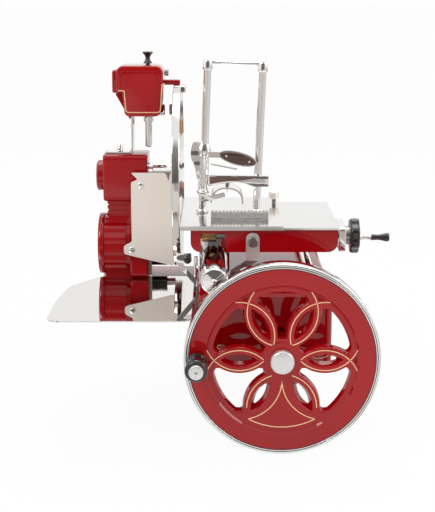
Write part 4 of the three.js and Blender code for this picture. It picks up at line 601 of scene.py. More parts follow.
# Flywheel: rim, plate with its petal openings and eyes, hub and rim recesses
wheel = {
    "petals": 6,
    "bottomPetal": 4,
    "depth": 34,
    "rimInner": 125,
    "bandInner": 132,
    "castingOuter": 160.2,
    "groove": 3,
    "plateDepth": 15,
    "plateInset": 2.5,
    "petalReach": 84.4,
    "bandOuter": 65,
    "windowRadius": 48.4,
    "windowCorner": 4.6,
    "windowReach": 120,
    "windowHints": [(45, 5), (45, -5), (80, -40), (115, -25), (115, 25), (80, 40)],
    "eyeRadius": 52.6,
    "eyeCorner": 1.6,
    "eyeDraft": 5.6,
    "eyeHints": [(40, 0), (106, 0)],
    "recessCorner": 1,
    "recessReach": 131,
    "recessDepth": 7,
    "recessHints": [(130, -11), (130, 11), (123, 0)],
    "lip": 1.8,
    "lipCurve": [(1, 0), (0.5, 0.16), (0.125, 0.56), (0, 0.95)],
    "draft": 2.4,
    "arcSteps": 16,
    "cornerSteps": 6,
    "hubRadius": 31,
    "hubBack": 12,
    "boreRadius": 12.3,
    "pinReach": 145.5,
    "pinBore": 6.3,
    "overrun": 2,
    "sides": 96,
    "weld": 0.00002,
}
wheelFace = footOf("flywheel_tyre", "y")
petalStep = 360 / wheel["petals"]
plateBack = -wheel["plateDepth"] - wheel["plateInset"]


def wheelCylinder(radius, back, front, centre=(0, 0)):
    bm = bmesh.new()
    bmesh.ops.create_cone(
        bm, cap_ends=True, segments=wheel["sides"], radius1=radius * mm, radius2=radius * mm,
        depth=(front - back) * mm,
        matrix=Matrix.Translation((centre[0] * mm, centre[1] * mm, (back + front) / 2 * mm)),
    )
    return bm


def meetOf(first, second, hint):
    # where two circles (centre, radius) cross, at the crossing nearer to the hint
    centre, radius = Vector(first[0]), first[1]
    span = Vector(second[0]) - centre
    along = (radius**2 - second[1] ** 2 + span.length_squared) / (2 * span.length)
    aside = math.sqrt(radius**2 - along**2) * Vector((-span.y, span.x)).normalized()
    base = centre + along * span.normalized()
    return min((base + aside, base - aside), key=lambda p: (p - Vector(hint)).length)


def bearing(centre, point):
    return math.degrees(math.atan2(point[1] - centre[1], point[0] - centre[0]))


def arcPoints(centre, radius, start, sweep, steps):
    turns = [towards(start + sweep * k / steps) for k in range(steps + 1)]
    return [(centre[0] + radius * across, centre[1] + radius * up) for across, up in turns]


def roundedOutline(circles, hints, rounding, grow, turn):
    # an anticlockwise outline of arcs: each circle has a centre, a radius and whether the outline runs
    # inside it, and each hint lies near the corner before its circle
    grown = [(c, r + grow if inside else r - grow, inside) for c, r, inside in circles]
    shrunk = [(c, r - rounding if inside else r + rounding) for c, r, inside in grown]
    count = len(circles)
    corners = [meetOf(shrunk[i - 1], shrunk[i], hints[i]) for i in range(count)]
    points, ends = [], []
    for i, (centre, radius, inside) in enumerate(grown):
        start, end = bearing(centre, corners[i]), bearing(centre, corners[(i + 1) % count])
        sweep = (end - start) % 360 if inside else -((start - end) % 360)
        flip = 0 if inside else 180
        ends.append((start + flip, end + flip))
        points.append(arcPoints(centre, radius, start, sweep, wheel["arcSteps"]))
    outline = []
    for i in range(count):
        outline += points[i]
        after = (i + 1) % count
        sweep = (ends[after][0] - ends[i][1]) % 360
        outline += arcPoints(corners[after], rounding, ends[i][1], sweep, wheel["cornerSteps"])[1:-1]
    return [Matrix.Rotation(math.radians(turn), 2) @ Vector(p) for p in outline]


def ringSolid(rings):
    # a closed solid through outlines of the same count of points, each at its height
    bm = bmesh.new()
    loops = [[bm.verts.new((p[0] * mm, p[1] * mm, height * mm)) for p in points] for points, height in rings]
    count = len(loops[0])
    for low, high in zip(loops, loops[1:]):
        for k in range(count):
            bm.faces.new((low[k], low[(k + 1) % count], high[(k + 1) % count], high[k]))
    bm.faces.new(loops[0][::-1])
    bm.faces.new(loops[-1])
    return bm


def flaredCutter(circles, hints, rounding, turn, floor, draft):
    # wider towards the operator, with a rounded lip where it meets the face
    lip, over, top = wheel["lip"], wheel["overrun"], -wheel["plateInset"]
    rings = [(floor, -draft), *((top - lip * below, lip * grow) for below, grow in wheel["lipCurve"])]
    rings.append((top + over, rings[-1][1] + over))
    return ringSolid([(roundedOutline(circles, hints, rounding, grow, turn), z) for z, grow in rings])


def petalCircles(degrees, radius, inside):
    # the petal circle at the bearing given and the one as far on the other side
    for turn in (degrees, -degrees):
        across, up = towards(turn)
        yield (wheel["petalReach"] * across, wheel["petalReach"] * up), radius, inside


def petalOpening(index):
    petal = ((wheel["petalReach"], 0), wheel["windowRadius"], True)
    left, right = petalCircles(petalStep, wheel["bandOuter"], False)
    rim = ((0, 0), wheel["windowReach"], True)
    return flaredCutter(
        [petal, right, petal, rim, petal, left], wheel["windowHints"], wheel["windowCorner"],
        petalStep * (index + 0.5), plateBack - wheel["overrun"], wheel["draft"],
    )


def petalEye(index):
    return flaredCutter(
        [*petalCircles(petalStep / 2, wheel["eyeRadius"], True)], wheel["eyeHints"], wheel["eyeCorner"],
        petalStep * (index + 1), plateBack - wheel["overrun"], wheel["eyeDraft"],
    )


def rimRecess(index):
    rim = ((0, 0), wheel["recessReach"] - wheel["lip"] * 2, True)
    return flaredCutter(
        [rim, *petalCircles(petalStep / 2, wheel["bandOuter"], False)], wheel["recessHints"],
        wheel["recessCorner"], petalStep * (index + 1), -wheel["recessDepth"], 0,
    )


def makeWheel():
    rim = bmesh.new()
    spinSection(rim, "z", (0, 0, 0), [
        (wheel["rimInner"], -wheel["depth"] + wheel["groove"]),
        (wheel["rimInner"] + wheel["groove"], -wheel["depth"]),
        (wheel["castingOuter"], -wheel["depth"]),
        (wheel["castingOuter"], 0),
        (wheel["bandInner"], 0),
        (wheel["bandInner"] - wheel["groove"], -wheel["groove"]),
        (wheel["rimInner"], -wheel["groove"]),
    ], wheel["sides"], hollow=True)
    closeUp(rim)
    petals, filled = range(wheel["petals"]), wheel["bottomPetal"]
    openings = [("DIFFERENCE", petalOpening(i)) for i in petals if i != filled]
    eyes = [("DIFFERENCE", petalEye(i)) for i in petals]
    recesses = [("DIFFERENCE", rimRecess(i)) for i in petals if i not in (filled, filled - 1)]
    front = -wheel["plateInset"]
    plate = wheelCylinder(wheel["rimInner"] + wheel["overrun"], plateBack, front)
    hubEnd = -wheel["depth"] - wheel["hubBack"]
    bore = wheelCylinder(wheel["boreRadius"], hubEnd - wheel["overrun"], -wheel["plateDepth"])
    pinBore = wheelCylinder(wheel["pinBore"], -wheel["depth"] / 2, wheel["overrun"], (-wheel["pinReach"], 0))
    casting = carve(rim, [
        ("UNION", carve(plate, openings + eyes)),
        ("UNION", wheelCylinder(wheel["hubRadius"], hubEnd, front / 2)),
        *recesses,
        ("DIFFERENCE", bore),
        ("DIFFERENCE", pinBore),
    ])
    bmesh.ops.remove_doubles(casting, verts=casting.verts, dist=wheel["weld"])
    bmesh.ops.dissolve_degenerate(casting, edges=casting.edges, dist=wheel["weld"])
    addPiece(
        "flywheel_red_casting", casting, "redEnamel", "flywheel", ["flywheel_casting"], frontPlane(wheelFace),
    )


makeWheel()
print("wheel cast")

# Tyre, hub cap, crank pin and grip; distances run from the wheel's face towards the operator
tyre = {
    "outer": 168, "inner": 160.5, "lineInner": 162.4, "lineOuter": 163.6, "lineDepth": 0.8, "round": 2.2,
    "shadowWidth": 1, "shadowIn": 0.1, "shadowProud": 0.1, "sides": 144,
}
turnedPiece("flywheel_bright_tyre", "toOperator", wheelFace, [
    (tyre["inner"], -wheel["depth"]),
    (tyre["outer"], -wheel["depth"]),
    (tyre["outer"], -tyre["round"]),
    (tyre["outer"] - tyre["round"] * 0.3, -tyre["round"] * 0.3),
    (tyre["outer"] - tyre["round"], 0),
    (tyre["lineOuter"], 0),
    (tyre["lineOuter"], -tyre["lineDepth"]),
    (tyre["lineInner"], -tyre["lineDepth"]),
    (tyre["lineInner"], 0),
    (tyre["inner"], 0),
], "chrome", "flywheel", ["flywheel_tyre"], steps=tyre["sides"], hollow=True, edge=0.25)


# a thin ring of painted shade: one in the tyre's groove, one a painted shadow at the casting's rim
def darkRing(name, inner, outer, back, front):
    turnedPiece(
        name, "toOperator", wheelFace, [(inner, back), (outer, back), (outer, front), (inner, front)],
        "paintedGrooveShade", "flywheel", steps=tyre["sides"], hollow=True,
    )


lineBack, lineFront = -tyre["lineDepth"] / 2, -tyre["lineDepth"] / 4
darkRing("flywheel_tyre_line", tyre["lineInner"], tyre["lineOuter"], lineBack, lineFront)
shadowOuter = wheel["castingOuter"] - tyre["shadowIn"]
darkRing(
    "flywheel_rim_shadow_line", shadowOuter - tyre["shadowWidth"], shadowOuter, -tyre["shadowProud"],
    tyre["shadowProud"],
)
cap = {"radius": 20.5, "height": 13.9, "edge": 2.2, "foot": -1}
turnedPiece("hub_bright_cap", "toOperator", wheelFace, [
    (0, cap["foot"]),
    (cap["radius"], cap["foot"]),
    (cap["radius"], cap["height"] - cap["edge"]),
    (cap["radius"] - cap["edge"], cap["height"]),
    (0, cap["height"]),
], "paleSteel", "flywheel", ["hub_cap"], edge=0.9)
pinFace = wheelFace + Vector((-wheel["pinReach"] * mm, 0, 0))
turnedPiece("crank_black_grip", "toOperator", pinFace, [
    (6.3, 7), (16.8, 7), (17.6, 7.8), (17.6, 12.6), (16.6, 14.4), (14.6, 19), (13.2, 25), (12.8, 31),
    (13.4, 37), (15.2, 43), (17.6, 48), (19.2, 52), (19.5, 55), (19.2, 57.5), (18.2, 59.6), (16.6, 60.8),
    (6.3, 61),
], "blackGloss", "crank_grip", ["crank_grip"], hollow=True, edge=0.2)
turnedPiece("crank_bright_pin", "toOperator", pinFace, [
    (0, -16.7), (6, -16.7), (6, 0.3), (12, 0.3), (12, 6.7), (6, 6.7), (6, 61.3), (12.5, 61.3),
    (12.5, 66.4), (11.8, 68.2), (10.2, 69), (7.2, 69), (6.6, 68.2), (6, 68.2), (0, 68.2),
], "paleSteel", "flywheel", ["crank_pin"], edge=0.3)

# Screw slots: how far each lies aside of its screw's middle, its length, width and turn
screwSlots = {
    "deep": 0.5,
    "proud": 0.05,
    "pinEnd": 68.2,
    "railSink": 0.5,
    "pin": {
        "crank_pin_slot_left": (-1.6, 5.5, 0.9, 90),
        "crank_pin_slot_right": (1.6, 5.5, 0.9, 90),
        "crank_pin_slot_cross": (0, 3.2, 0.9, 0),
    },
    "rail": {"rail_cap_screw_slot": (0, 6.4, 1.1, 35)},
}


def screwSlot(name, face, body, aside, long, wide, degrees):
    # a slot of painted shade laid on a screw's face, which looks at the operator
    bm = bmesh.new()
    low, high = (-long / 2, -wide / 2, -screwSlots["deep"]), (long / 2, wide / 2, screwSlots["proud"])
    roundedBox(bm, low, high, 0)
    turn = Matrix.Rotation(math.radians(degrees), 3, "Z")
    bmesh.ops.rotate(bm, cent=(0, 0, 0), matrix=turn, verts=bm.verts)
    place = frontPlane(face + Vector((aside * mm, 0, 0)))
    addPiece(name, bm, "paintedGrooveShade", body, place=place, smooth=False)


for slotName, slotShape in screwSlots["pin"].items():
    screwSlot(slotName, pinFace + Vector((0, -screwSlots["pinEnd"] * mm, 0)), "flywheel", *slotShape)
print("wheel fittings turned")

# Guide rails
turnedNode("main_rail_bright_tube", "main_guide_rail", "y", "chrome", [
    (0, 0.6), (3.2, 0.2), (4.5, 1.2), (4.5, 2.6), (5.4, 2.9), (19.6, 2.2), (21.8, 3), (22.6, 4.6),
    (22.6, 8.5), (23.5, 8.7), (23.5, -2, 0), (22, 0, 0), (0, 0, 0),
], steps=96, edge=0.3)
for slotName, slotShape in screwSlots["rail"].items():
    railFace = footOf("main_guide_rail", "y") + Vector((0, screwSlots["railSink"] * mm, 0))
    screwSlot(slotName, railFace, "base", *slotShape)
turnedNode("outer_rail_bright_rod", "outer_guide_rail", "y", "chrome", [
    (0, 0), (8, 0), (9, 1), (9, -1, 0), (8, 0, 0), (0, 0, 0),
], steps=48)

# Knife, its shaft's housing and the round cover of the drive case
turnedNode("round_knife", "knife_blade", "x", "mirrorSteel", [
    (0, -4.5), (60, -4.5), (62, -3.9), (112, -3.9), (114, -4.5), (146.5, -4.5), (159.5, -0.6), (159.5, 0),
    (148, -0.25), (62, -0.25), (60, 0), (0, 0),
], atHighEnd=True, steps=180)
turnedNode("knife_shaft_bright_housing", "knife_shaft_housing", "x", "chrome", [
    (13.3, 0), (21, 0), (21, 8), (23, 8), (24, 9), (24, -1, 0), (23, 0, 0), (13.3, 0, 0),
], hollow=True)
turnedNode("drive_case_round_cover", "drive_case_cover", "x", "redEnamel", [
    (0, 1.6), (14, 1.6), (16, 0.4), (22, 0.4), (25, 1.8), (50, 1.8), (52, 0), (55.4, 0), (57.6, 1),
    (58.4, 3), (58.4, 11), (0, 11),
], steps=120, edge=0.5)

# Guard: a bright ring, open where the slice leaves, with a hood over the top of the knife
guard = {
    "outer": 172, "inner": 162, "thick": 14, "openFrom": -22, "openTo": 52, "steps": 110, "edge": 1.4,
    "knife": 161.5, "knifeZ": 309, "knifeSides": 180, "hoodHalf": 28, "hoodHeight": 34, "hoodReach": 9,
    "hoodEdge": 3.2,
}


def makeGuard():
    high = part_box("knife_guard")[1]
    right, top = (high.x / mm) - guard["hoodReach"], high.z / mm
    left = right - guard["thick"]
    ring = bmesh.new()
    inner, outer = guard["inner"], guard["outer"]
    along = Vector((0, *towards(guard["openTo"])))
    centre = Vector((0, 0, guard["knifeZ"] * mm))
    section = [(inner, left), (outer, left), (outer, right), (inner, right)]
    verts = [ring.verts.new(centre + along * r * mm + Vector((x * mm, 0, 0))) for r, x in section]
    face = ring.faces.new(verts)
    sweep = math.radians(360 + guard["openFrom"] - guard["openTo"])
    bmesh.ops.spin(ring, geom=[face], cent=centre, axis=(1, 0, 0), angle=sweep, steps=guard["steps"])
    closeUp(ring)
    softenEdges(ring, guard["edge"], 3)
    hood = bmesh.new()
    hoodLow = (left, -guard["hoodHalf"], top - guard["hoodHeight"])
    roundedBox(hood, hoodLow, (right + guard["hoodReach"], guard["hoodHalf"], top), guard["hoodEdge"], 4)
    knifeRoom = bmesh.new()
    place = Matrix.Translation(centre + Vector(((left + guard["thick"] / 2) * mm, 0, 0)))
    bmesh.ops.create_cone(
        knifeRoom, cap_ends=True, segments=guard["knifeSides"], radius1=guard["knife"] * mm,
        radius2=guard["knife"] * mm, depth=3 * guard["thick"] * mm,
        matrix=place @ Matrix.Rotation(math.radians(90), 4, "Y"),
    )
    done = carve(ring, [("UNION", hood), ("DIFFERENCE", knifeRoom)])
    addPiece("knife_bright_guard", done, "guardSteel", "base", ["knife_guard"])


makeGuard()

# Stay under the guard, side lever's knob, deflector studs
turnedNode("guard_bright_stay", "guard_stay", "x", "chrome", [
    (0, 0), (9, 0), (9, -1, 0), (8, 0, 0), (0, 0, 0),
], steps=48)
turnedNode("guard_stay_black_collar", "guard_stay_collar", "x", "blackGloss", [
    (9.3, 0), (18, 0), (18, -0.8, 0), (17.2, 0, 0), (9.3, 0, 0),
], hollow=True, edge=0.4)
turnedNode("side_lever_black_knob", "side_lever_knob", "y", "blackGloss", [
    (0, 0), (4.6, 0.2), (6.2, 1.2), (7.1, 3), (7.5, 6), (7.5, 13.5), (6.6, 15.4), (4, 16), (0, 16),
], steps=48)
for studName in ("upper_deflector_stud", "lower_deflector_stud"):
    turnedNode(studName + ".turned", studName, "y", "chrome", [
        (0, 0), (3.4, 0), (5.2, 0.5), (6, 1.4), (6, 2), (4, 2), (4, 0, 0), (0, 0, 0),
    ], steps=40)
print("rails, knife and guard turned")

# Feed handwheel with seven lobes and a sunk face, and the spinner
handwheel = {
    "radius": 32.6, "lobes": 7, "lobeDepth": 3, "thick": 17, "edge": 4.2, "edgeDegrees": 60, "sides": 140,
    "faceInset": 2.5, "faceSink": 1.2,
}


def makeHandwheel():
    bm = bmesh.new()
    radius = handwheel["radius"]
    bmesh.ops.create_circle(bm, cap_ends=True, segments=handwheel["sides"], radius=radius * mm)
    for vert in bm.verts:
        turn = math.atan2(vert.co.y, vert.co.x)
        drop = handwheel["lobeDepth"] / 2 * (1 - math.cos(handwheel["lobes"] * turn))
        vert.co *= (radius - drop) / radius
    raiseFaces(bm, handwheel["thick"] * mm)
    closeUp(bm)
    softenEdges(bm, handwheel["edge"], 5, handwheel["edgeDegrees"])
    outer = max(bm.faces, key=lambda f: f.calc_center_median().z)
    bmesh.ops.inset_region(
        bm, faces=[outer], thickness=handwheel["faceInset"] * mm, depth=-handwheel["faceSink"] * mm,
    )
    foot = footOf("feed_handwheel", "x")
    foot.z = middleOf("feed_screw").z
    turnToX = Matrix(((0, 0, 1, 0), (1, 0, 0, 0), (0, 1, 0, 0), (0, 0, 0, 1)))
    addPiece(
        "feed_black_handwheel", bm, "blackGloss", bodyOfNode["feed_handwheel"], ["feed_handwheel"],
        Matrix.Translation(foot) @ turnToX,
    )


makeHandwheel()
turnedNode("spinner_bright_pin", "spinner_pin", "x", "chrome", [
    (0, 0), (6, 0), (5.6, 1.4), (4.4, 5), (4, 8), (4, 15.5), (4.6, 17.4), (5.2, 19), (5.2, 20), (2, 20),
    (2, 0, 0), (0, 0, 0),
], steps=40)
turnedNode("spinner_black_handle", "spinner_handle", "x", "blackGloss", [
    (2.3, 0), (5, 0), (5.6, 0.8), (5.3, 5), (5, 10), (5.2, 15), (6.2, 20), (7.5, 25), (8, 28), (7.6, 31),
    (6.4, 32.6), (4.6, 33), (0, 33), (0, 28.4), (2.3, 28.4),
], steps=48, hollow=True)
turnedNode("rail_bright_roller", "rail_roller", "x", "chrome", [
    (3.8, 0), (11, 0), (12, 1), (12, 9), (11, 10), (3.8, 10),
], steps=64, hollow=True)
turnedNode("trip_bracket_dark_screw", "trip_bracket_screw", "y", "darkSteel", [
    (0, 0.5), (6.6, 0), (8.4, 0.6), (9.5, 1.8), (9.5, 3.7), (4.5, 3.7), (4.5, 8), (0, 8),
], steps=48, edge=0.2)

# Fence knob on the meat table
turnedNode("fence_dark_stem", "fence_knob", "z", "darkSteel", [
    (0, 0), (4, 0), (4, 9.2), (0, 9.2),
], standsFor=False, steps=40, edge=0.3)
turnedNode("fence_cream_knob", "fence_knob", "z", "creamTintAndPaintedReflection", [
    (0, 9.2), (7, 9.2), (8.6, 10), (9.6, 12), (10, 14), (10, 20.5), (9.5, 22.6), (8.2, 23.8), (6.5, 24),
    (0, 24),
], steps=64)

# Toothed strip on the table: rows of small bright tiles on its front, over dark grooves
strip = {
    "rows": 3, "columns": 26, "share": 0.86, "rowGap": 0.3, "sink": 0.02, "depth": 1.9, "low": 0.6,
    "high": 11.4, "edge": 0.25,
}


def makeStripTiles():
    low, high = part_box("toothed_strip")
    bm = bmesh.new()
    columnPitch = (high.x - low.x) / mm / strip["columns"]
    rowPitch = (strip["high"] - strip["low"]) / strip["rows"]
    front, gap = low.y / mm, strip["rowGap"]
    for row in range(strip["rows"]):
        bottom = low.z / mm + strip["low"] + row * rowPitch
        for column in range(strip["columns"]):
            left = low.x / mm + column * columnPitch + columnPitch * (1 - strip["share"]) / 2
            right = left + columnPitch * strip["share"]
            tileLow = (left, front + strip["sink"], bottom + gap)
            tileHigh = (right, front + strip["depth"], bottom + rowPitch - gap)
            roundedBox(bm, tileLow, tileHigh, strip["edge"], 1)
    addPiece("toothed_strip_tiles", bm, "brownSteel", bodyOfNode["toothed_strip"])


makeStripTiles()

# Press: its frame leans a little away from the knife
press = {
    "lean": 2.2, "footX": -112.7, "footY": -33, "spacing": 102, "post": 7, "height": 288, "footFlange": 12,
    "footHeight": 6, "footGap": 0.3, "socket": 9.5, "socketHeight": 20, "bar": 3.0,
}
pressFoot = (press["footX"] * mm, press["footY"] * mm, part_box("meat_table")[1].z)
pressPlace = Matrix.Translation(pressFoot) @ Matrix.Rotation(math.radians(press["lean"]), 4, "Y")


def makePressFrame():
    bm = bmesh.new()
    tan = math.tan(math.radians(press["lean"]))
    height, spacing, post, flange = press["height"], press["spacing"], press["post"], press["footFlange"]
    socket, bar, socketFoot = press["socket"], press["bar"], press["height"] - press["socketHeight"]
    for x in (0, spacing):
        floor = x * tan + flange * tan + press["footGap"]
        spinSection(bm, "z", (x * mm, 0, 0), [
            (0, floor), (flange - 0.6, floor), (flange, floor + 0.6), (flange, floor + 3),
            (post + 2.4, floor + 5.2), (post, floor + press["footHeight"]), (post, socketFoot),
            (socket - 0.8, socketFoot), (socket, socketFoot + 0.8), (socket, height - 7),
            (socket * 0.9, height - 2.6), (socket * 0.7, height), (0, height),
        ], 64)
    barZ = height - press["socketHeight"] / 3
    spinSection(bm, "x", (0, 0, barZ * mm), [
        (0, 1), (bar * 2, 1), (bar * 2, 8), (bar * 1.5, 15), (bar, 26), (bar, spacing - 26),
        (bar * 1.5, spacing - 15), (bar * 2, spacing - 8), (bar * 2, spacing - 1), (0, spacing - 1),
    ], 40)
    closeUp(bm)
    addPiece("press_bright_frame", bm, "chrome", bodyOfNode["press_frame"], ["press_frame"], pressPlace)


makePressFrame()
# A turned skin over the press's slider and its lug bolt, a hair proud of the casting
skin = 0.06
lugBoltFoot = (0, -0.0418, 0.0375)
turnedPiece("press_slider_skin", "z", (0, 0, 0), [
    (7.3, 35.5), (10 + skin, 35.5), (12 + skin, 37.5), (12 + skin, 41.5), (11.4, 43.4), (9.5 + skin, 45.5),
    (9.2 + skin, 100), (10.2, 106), (12.5 + skin, 112), (12.5 + skin, 120), (9.5 + skin, 130), (7.3, 130),
], "chrome", "press", steps=64, hollow=True, place=pressPlace)
turnedPiece("press_lug_bolt_head", "toOperator", lugBoltFoot, [
    (0, -8), (8 + skin, -8), (8 + skin, 0.4), (7.2, 1.4), (5.6, 1.9), (5.2, 1.4), (0, 1.3),
], "chrome", "press", steps=48, edge=0.2, place=pressPlace)

# Hand grip: a brown scale on each side of the frame, each with two rivets
grip = {
    "centre": (62.5, -15.6, 107), "tilt": -12, "long": 69, "high": 21, "frame": 6, "scale": 5, "round": 3.4,
    "roundDegrees": 60, "sides": 72, "rivetReach": 22, "rivetRadius": 2.2, "rivetProud": 0.3,
}
gripPlace = pressPlace @ Matrix.Translation(Vector(grip["centre"]) * mm)
gripPlace = gripPlace @ Matrix.Rotation(math.radians(-grip["tilt"]), 4, "Y")
gripPlace = gripPlace @ Matrix.Rotation(math.radians(90), 4, "X")


def makeGrip():
    bm = bmesh.new()
    bmesh.ops.create_circle(bm, cap_ends=True, segments=grip["sides"], radius=0.5)
    bmesh.ops.scale(bm, vec=(grip["long"] * mm, grip["high"] * mm, 1), verts=bm.verts)
    half = grip["frame"] / 2 + grip["scale"]
    bmesh.ops.translate(bm, verts=bm.verts, vec=(0, 0, -half * mm))
    raiseFaces(bm, 2 * half * mm)
    closeUp(bm)
    softenEdges(bm, grip["round"], 6, grip["roundDegrees"])
    addPiece("press_brown_grip", bm, "darkWood", "press", ["press_grip"], gripPlace)
    rivet, proud = grip["rivetRadius"], grip["rivetProud"]
    for side, sideName in ((-1, "left"), (1, "right")):
        turnedPiece(f"press_grip_rivet_{sideName}", "z", (side * grip["rivetReach"] * mm, 0, 0), [
            (0, -half - proud), (rivet * 0.7, -half - proud), (rivet, -half + 0.1),
            (rivet, half - 0.1), (rivet * 0.7, half + proud), (0, half + proud),
        ], "paleSteel", "press", steps=32, place=gripPlace)


makeGrip()
print("carriage and press fittings made")

# Sharpener head with well rounded edges, its arm, lug, rear wedge and the stone's arbor holder
sharpener = {
    "left": -271.5, "right": -185, "half": 40, "top": 517.5, "step": 470.5, "bottom": 424.5, "lowLeft": -256,
    "lowRight": -191.5, "round": 6.5,
    "armStart": 12, "armEnd": -154, "armHalf": 9, "armHeight": 9.5, "armGap": 0.3, "armEdge": 2.6,
    "lugWidth": 9, "lugIn": 8, "lugHalf": 22, "lugDrop": 9, "lugHeight": 42, "lugEdge": 3.5,
    "holderLong": 18, "holderIn": 9, "holderHalf": 10, "holderEdge": 2,
    "arbor": [(0, 0), (4, 0), (4, 1.7), (0, 1.7)], "arborSink": 2,
    "wedgeDrop": 12, "wedgeDepth": 14, "wedgeIn": 1, "wedgeRound": 1.5,
}


def makeSharpener():
    s = sharpener
    left, right, step, low, lug = s["left"], s["right"], s["step"], s["bottom"], s["lugWidth"]
    head = slabOutline([
        (left, step, 3), (s["lowLeft"] - lug / 2, step, 4), (s["lowLeft"], low, 8), (s["lowRight"], low, 8),
        (right, step, 14), (right, s["top"], 13), (left, s["top"], 13),
    ], 2 * s["half"], s["round"], 5, frontPlane((0, s["half"] * mm, 0)))
    soft = s["wedgeRound"]
    wedge = slabOutline([
        (left - lug * 0.8, step - lug, soft), (s["lowLeft"] + lug / 2, low - s["wedgeDrop"], soft),
        (s["lowRight"], step, soft), (s["lowLeft"], step, soft),
    ], s["wedgeDepth"], soft, 3, frontPlane((0, (s["half"] - s["wedgeIn"]) * mm, 0)))
    parts = bmesh.new()
    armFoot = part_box("knife_guard")[1].z / mm + s["armGap"]
    armTop = armFoot + s["armHeight"]
    armLow = (right - s["armStart"], -s["armHalf"], armFoot)
    roundedBox(parts, armLow, (s["armEnd"], s["armHalf"], armTop), s["armEdge"])
    lugTop = s["top"] - s["lugDrop"]
    lugLow = (left - lug, -s["lugHalf"], lugTop - s["lugHeight"])
    roundedBox(parts, lugLow, (left + s["lugIn"], s["lugHalf"], lugTop), s["lugEdge"])
    stone, reach = middleOf("grinding_stone"), s["holderHalf"]
    holderLow = (right - s["holderLong"], s["half"] - s["holderIn"], stone.z / mm - reach)
    roundedBox(parts, holderLow, (right, stone.y / mm + reach, stone.z / mm + reach), s["holderEdge"])
    spinSection(parts, "x", (right * mm - s["arborSink"] * mm, stone.y, stone.z), s["arbor"], 40)
    closeUp(parts)
    whole = carve(head, [("UNION", wedge)])
    joinTo(whole, parts)
    addPiece("sharpener_red_head", whole, "redEnamel", "base", ["sharpener_head"])


makeSharpener()
turnedNode("sharpener_black_plunger", "sharpener_plunger", "z", "blackGloss", [
    (0, 0), (4, 0), (4, 0, 22), (8.5, 0, 22), (8.3, 1.6, 22), (6.2, 4, 22), (4.8, 7, 22), (4.4, 10, 22),
    (5, 13, 22), (7, 16.4, 22), (9.4, 18.4, 22), (10, 19.6, 22), (9.6, 21.2, 22), (7.6, 22, 22), (0, 22, 22),
], steps=56)
plunger = middleOf("sharpener_plunger")
sleeveTop = 425.5
turnedPiece("sharpener_sleeve_skin", "z", (plunger.x, plunger.y, 0), [
    (4.3, sleeveTop - 60), (6.4 + skin, sleeveTop - 60), (6.4 + skin, sleeveTop - 14),
    (9 + skin, sleeveTop - 14), (9 + skin, sleeveTop - 6.3), (15.5 + skin, sleeveTop - 2.1),
    (15.5 + skin, sleeveTop), (4.3, sleeveTop),
], "chrome", "base", steps=56, hollow=True)
turnedNode("stone_dark_button", "stone_button", "x", "darkSteel", [
    (0, 0), (5, 0), (5, 2), (6.5, 2.6), (6.5, 7.2), (5.8, 8), (0, 8),
], steps=48)
turnedNode("sharpener_stone", "grinding_stone", "x", "grindStone", [
    (0, 0), (9.4, 0), (10, 0.6), (10, 6.4), (9.4, 7), (3, 7), (2.6, 6.4), (0, 6.4),
], steps=56)
nutFoot = (-0.2693, 0, 0.3565)
turnedPiece("strap_acorn_nut", "z", nutFoot, [
    (0, 0), (6 + skin, 0), (6 + skin, 5.6), (5.2, 6.4), (5.1, 8.4), (4.2, 10.4), (2.4, 11.7), (0, 12),
], "chrome", "base", steps=48, edge=0.2)
print("sharpener made")

# Painted stripes: a short edge is drawn along a flat face as lines and arcs, in metres, then thickened
stripes = {"lift": 0.0002, "arcDegrees": 6, "fewestSteps": 3, "weld": 0.000005}


def paintStripe(name, plane, start, heading, moves, width, finishName, body, lift=stripes["lift"]):
    bm = bmesh.new()
    here = Vector((*start, 0))
    angle = math.radians(heading)
    side = Vector((-math.sin(angle), math.cos(angle), 0)) * width / 2
    edge = bm.edges.new([bm.verts.new(here - side), bm.verts.new(here + side)])
    for kind, *sizes in moves:
        if kind == "line":
            grown = bmesh.ops.extrude_edge_only(bm, edges=[edge])["geom"]
            step = Vector((math.cos(angle), math.sin(angle), 0)) * sizes[0]
            bmesh.ops.translate(bm, verts=vertsIn(grown), vec=step)
            edge = next(g for g in grown if isinstance(g, bmesh.types.BMEdge) and len(g.link_faces) == 1
                        and all(w in grown for w in g.verts))
            here = here + step
        else:
            radius, degrees = sizes
            turn = math.radians(degrees)
            way = 1 if degrees > 0 else -1
            centre = here + Vector((-math.sin(angle), math.cos(angle), 0)) * radius * way
            steps = max(stripes["fewestSteps"], int(abs(degrees) / stripes["arcDegrees"]))
            spun = bmesh.ops.spin(
                bm, geom=[edge, *edge.verts], cent=centre, axis=(0, 0, 1), angle=turn, steps=steps,
            )["geom_last"]
            edge = next(g for g in spun if isinstance(g, bmesh.types.BMEdge))
            here = centre + Matrix.Rotation(turn, 3, "Z") @ (here - centre)
            angle += turn
    bmesh.ops.remove_doubles(bm, verts=bm.verts, dist=stripes["weld"])
    bmesh.ops.recalc_face_normals(bm, faces=bm.faces)
    if sum(face.normal.z for face in bm.faces) < 0:
        bmesh.ops.reverse_faces(bm, faces=bm.faces)
    raiseFaces(bm, lift)
    bmesh.ops.recalc_face_normals(bm, faces=bm.faces)
    addPiece(name, bm, finishName, body, place=plane, smooth=False)


# Flywheel: gold lines along its petals and round the solid sector, in metres from its middle
wheelLook = {
    "lineRadius": 0.0600,
    "lineWidth": 0.0016,
    "tailRadius": 0.1295,
    "crossRadius": 0.0318,
    "lowerTailRadius": 0.1035,
    "tip": (0.0, -0.0330),
    "waist": (-0.0115, -0.0732),
    "corner": (-0.0575, -0.1045),
}
wheelPlane = frontPlane(wheelFace + Vector((0, wheel["plateInset"] * mm, 0)))


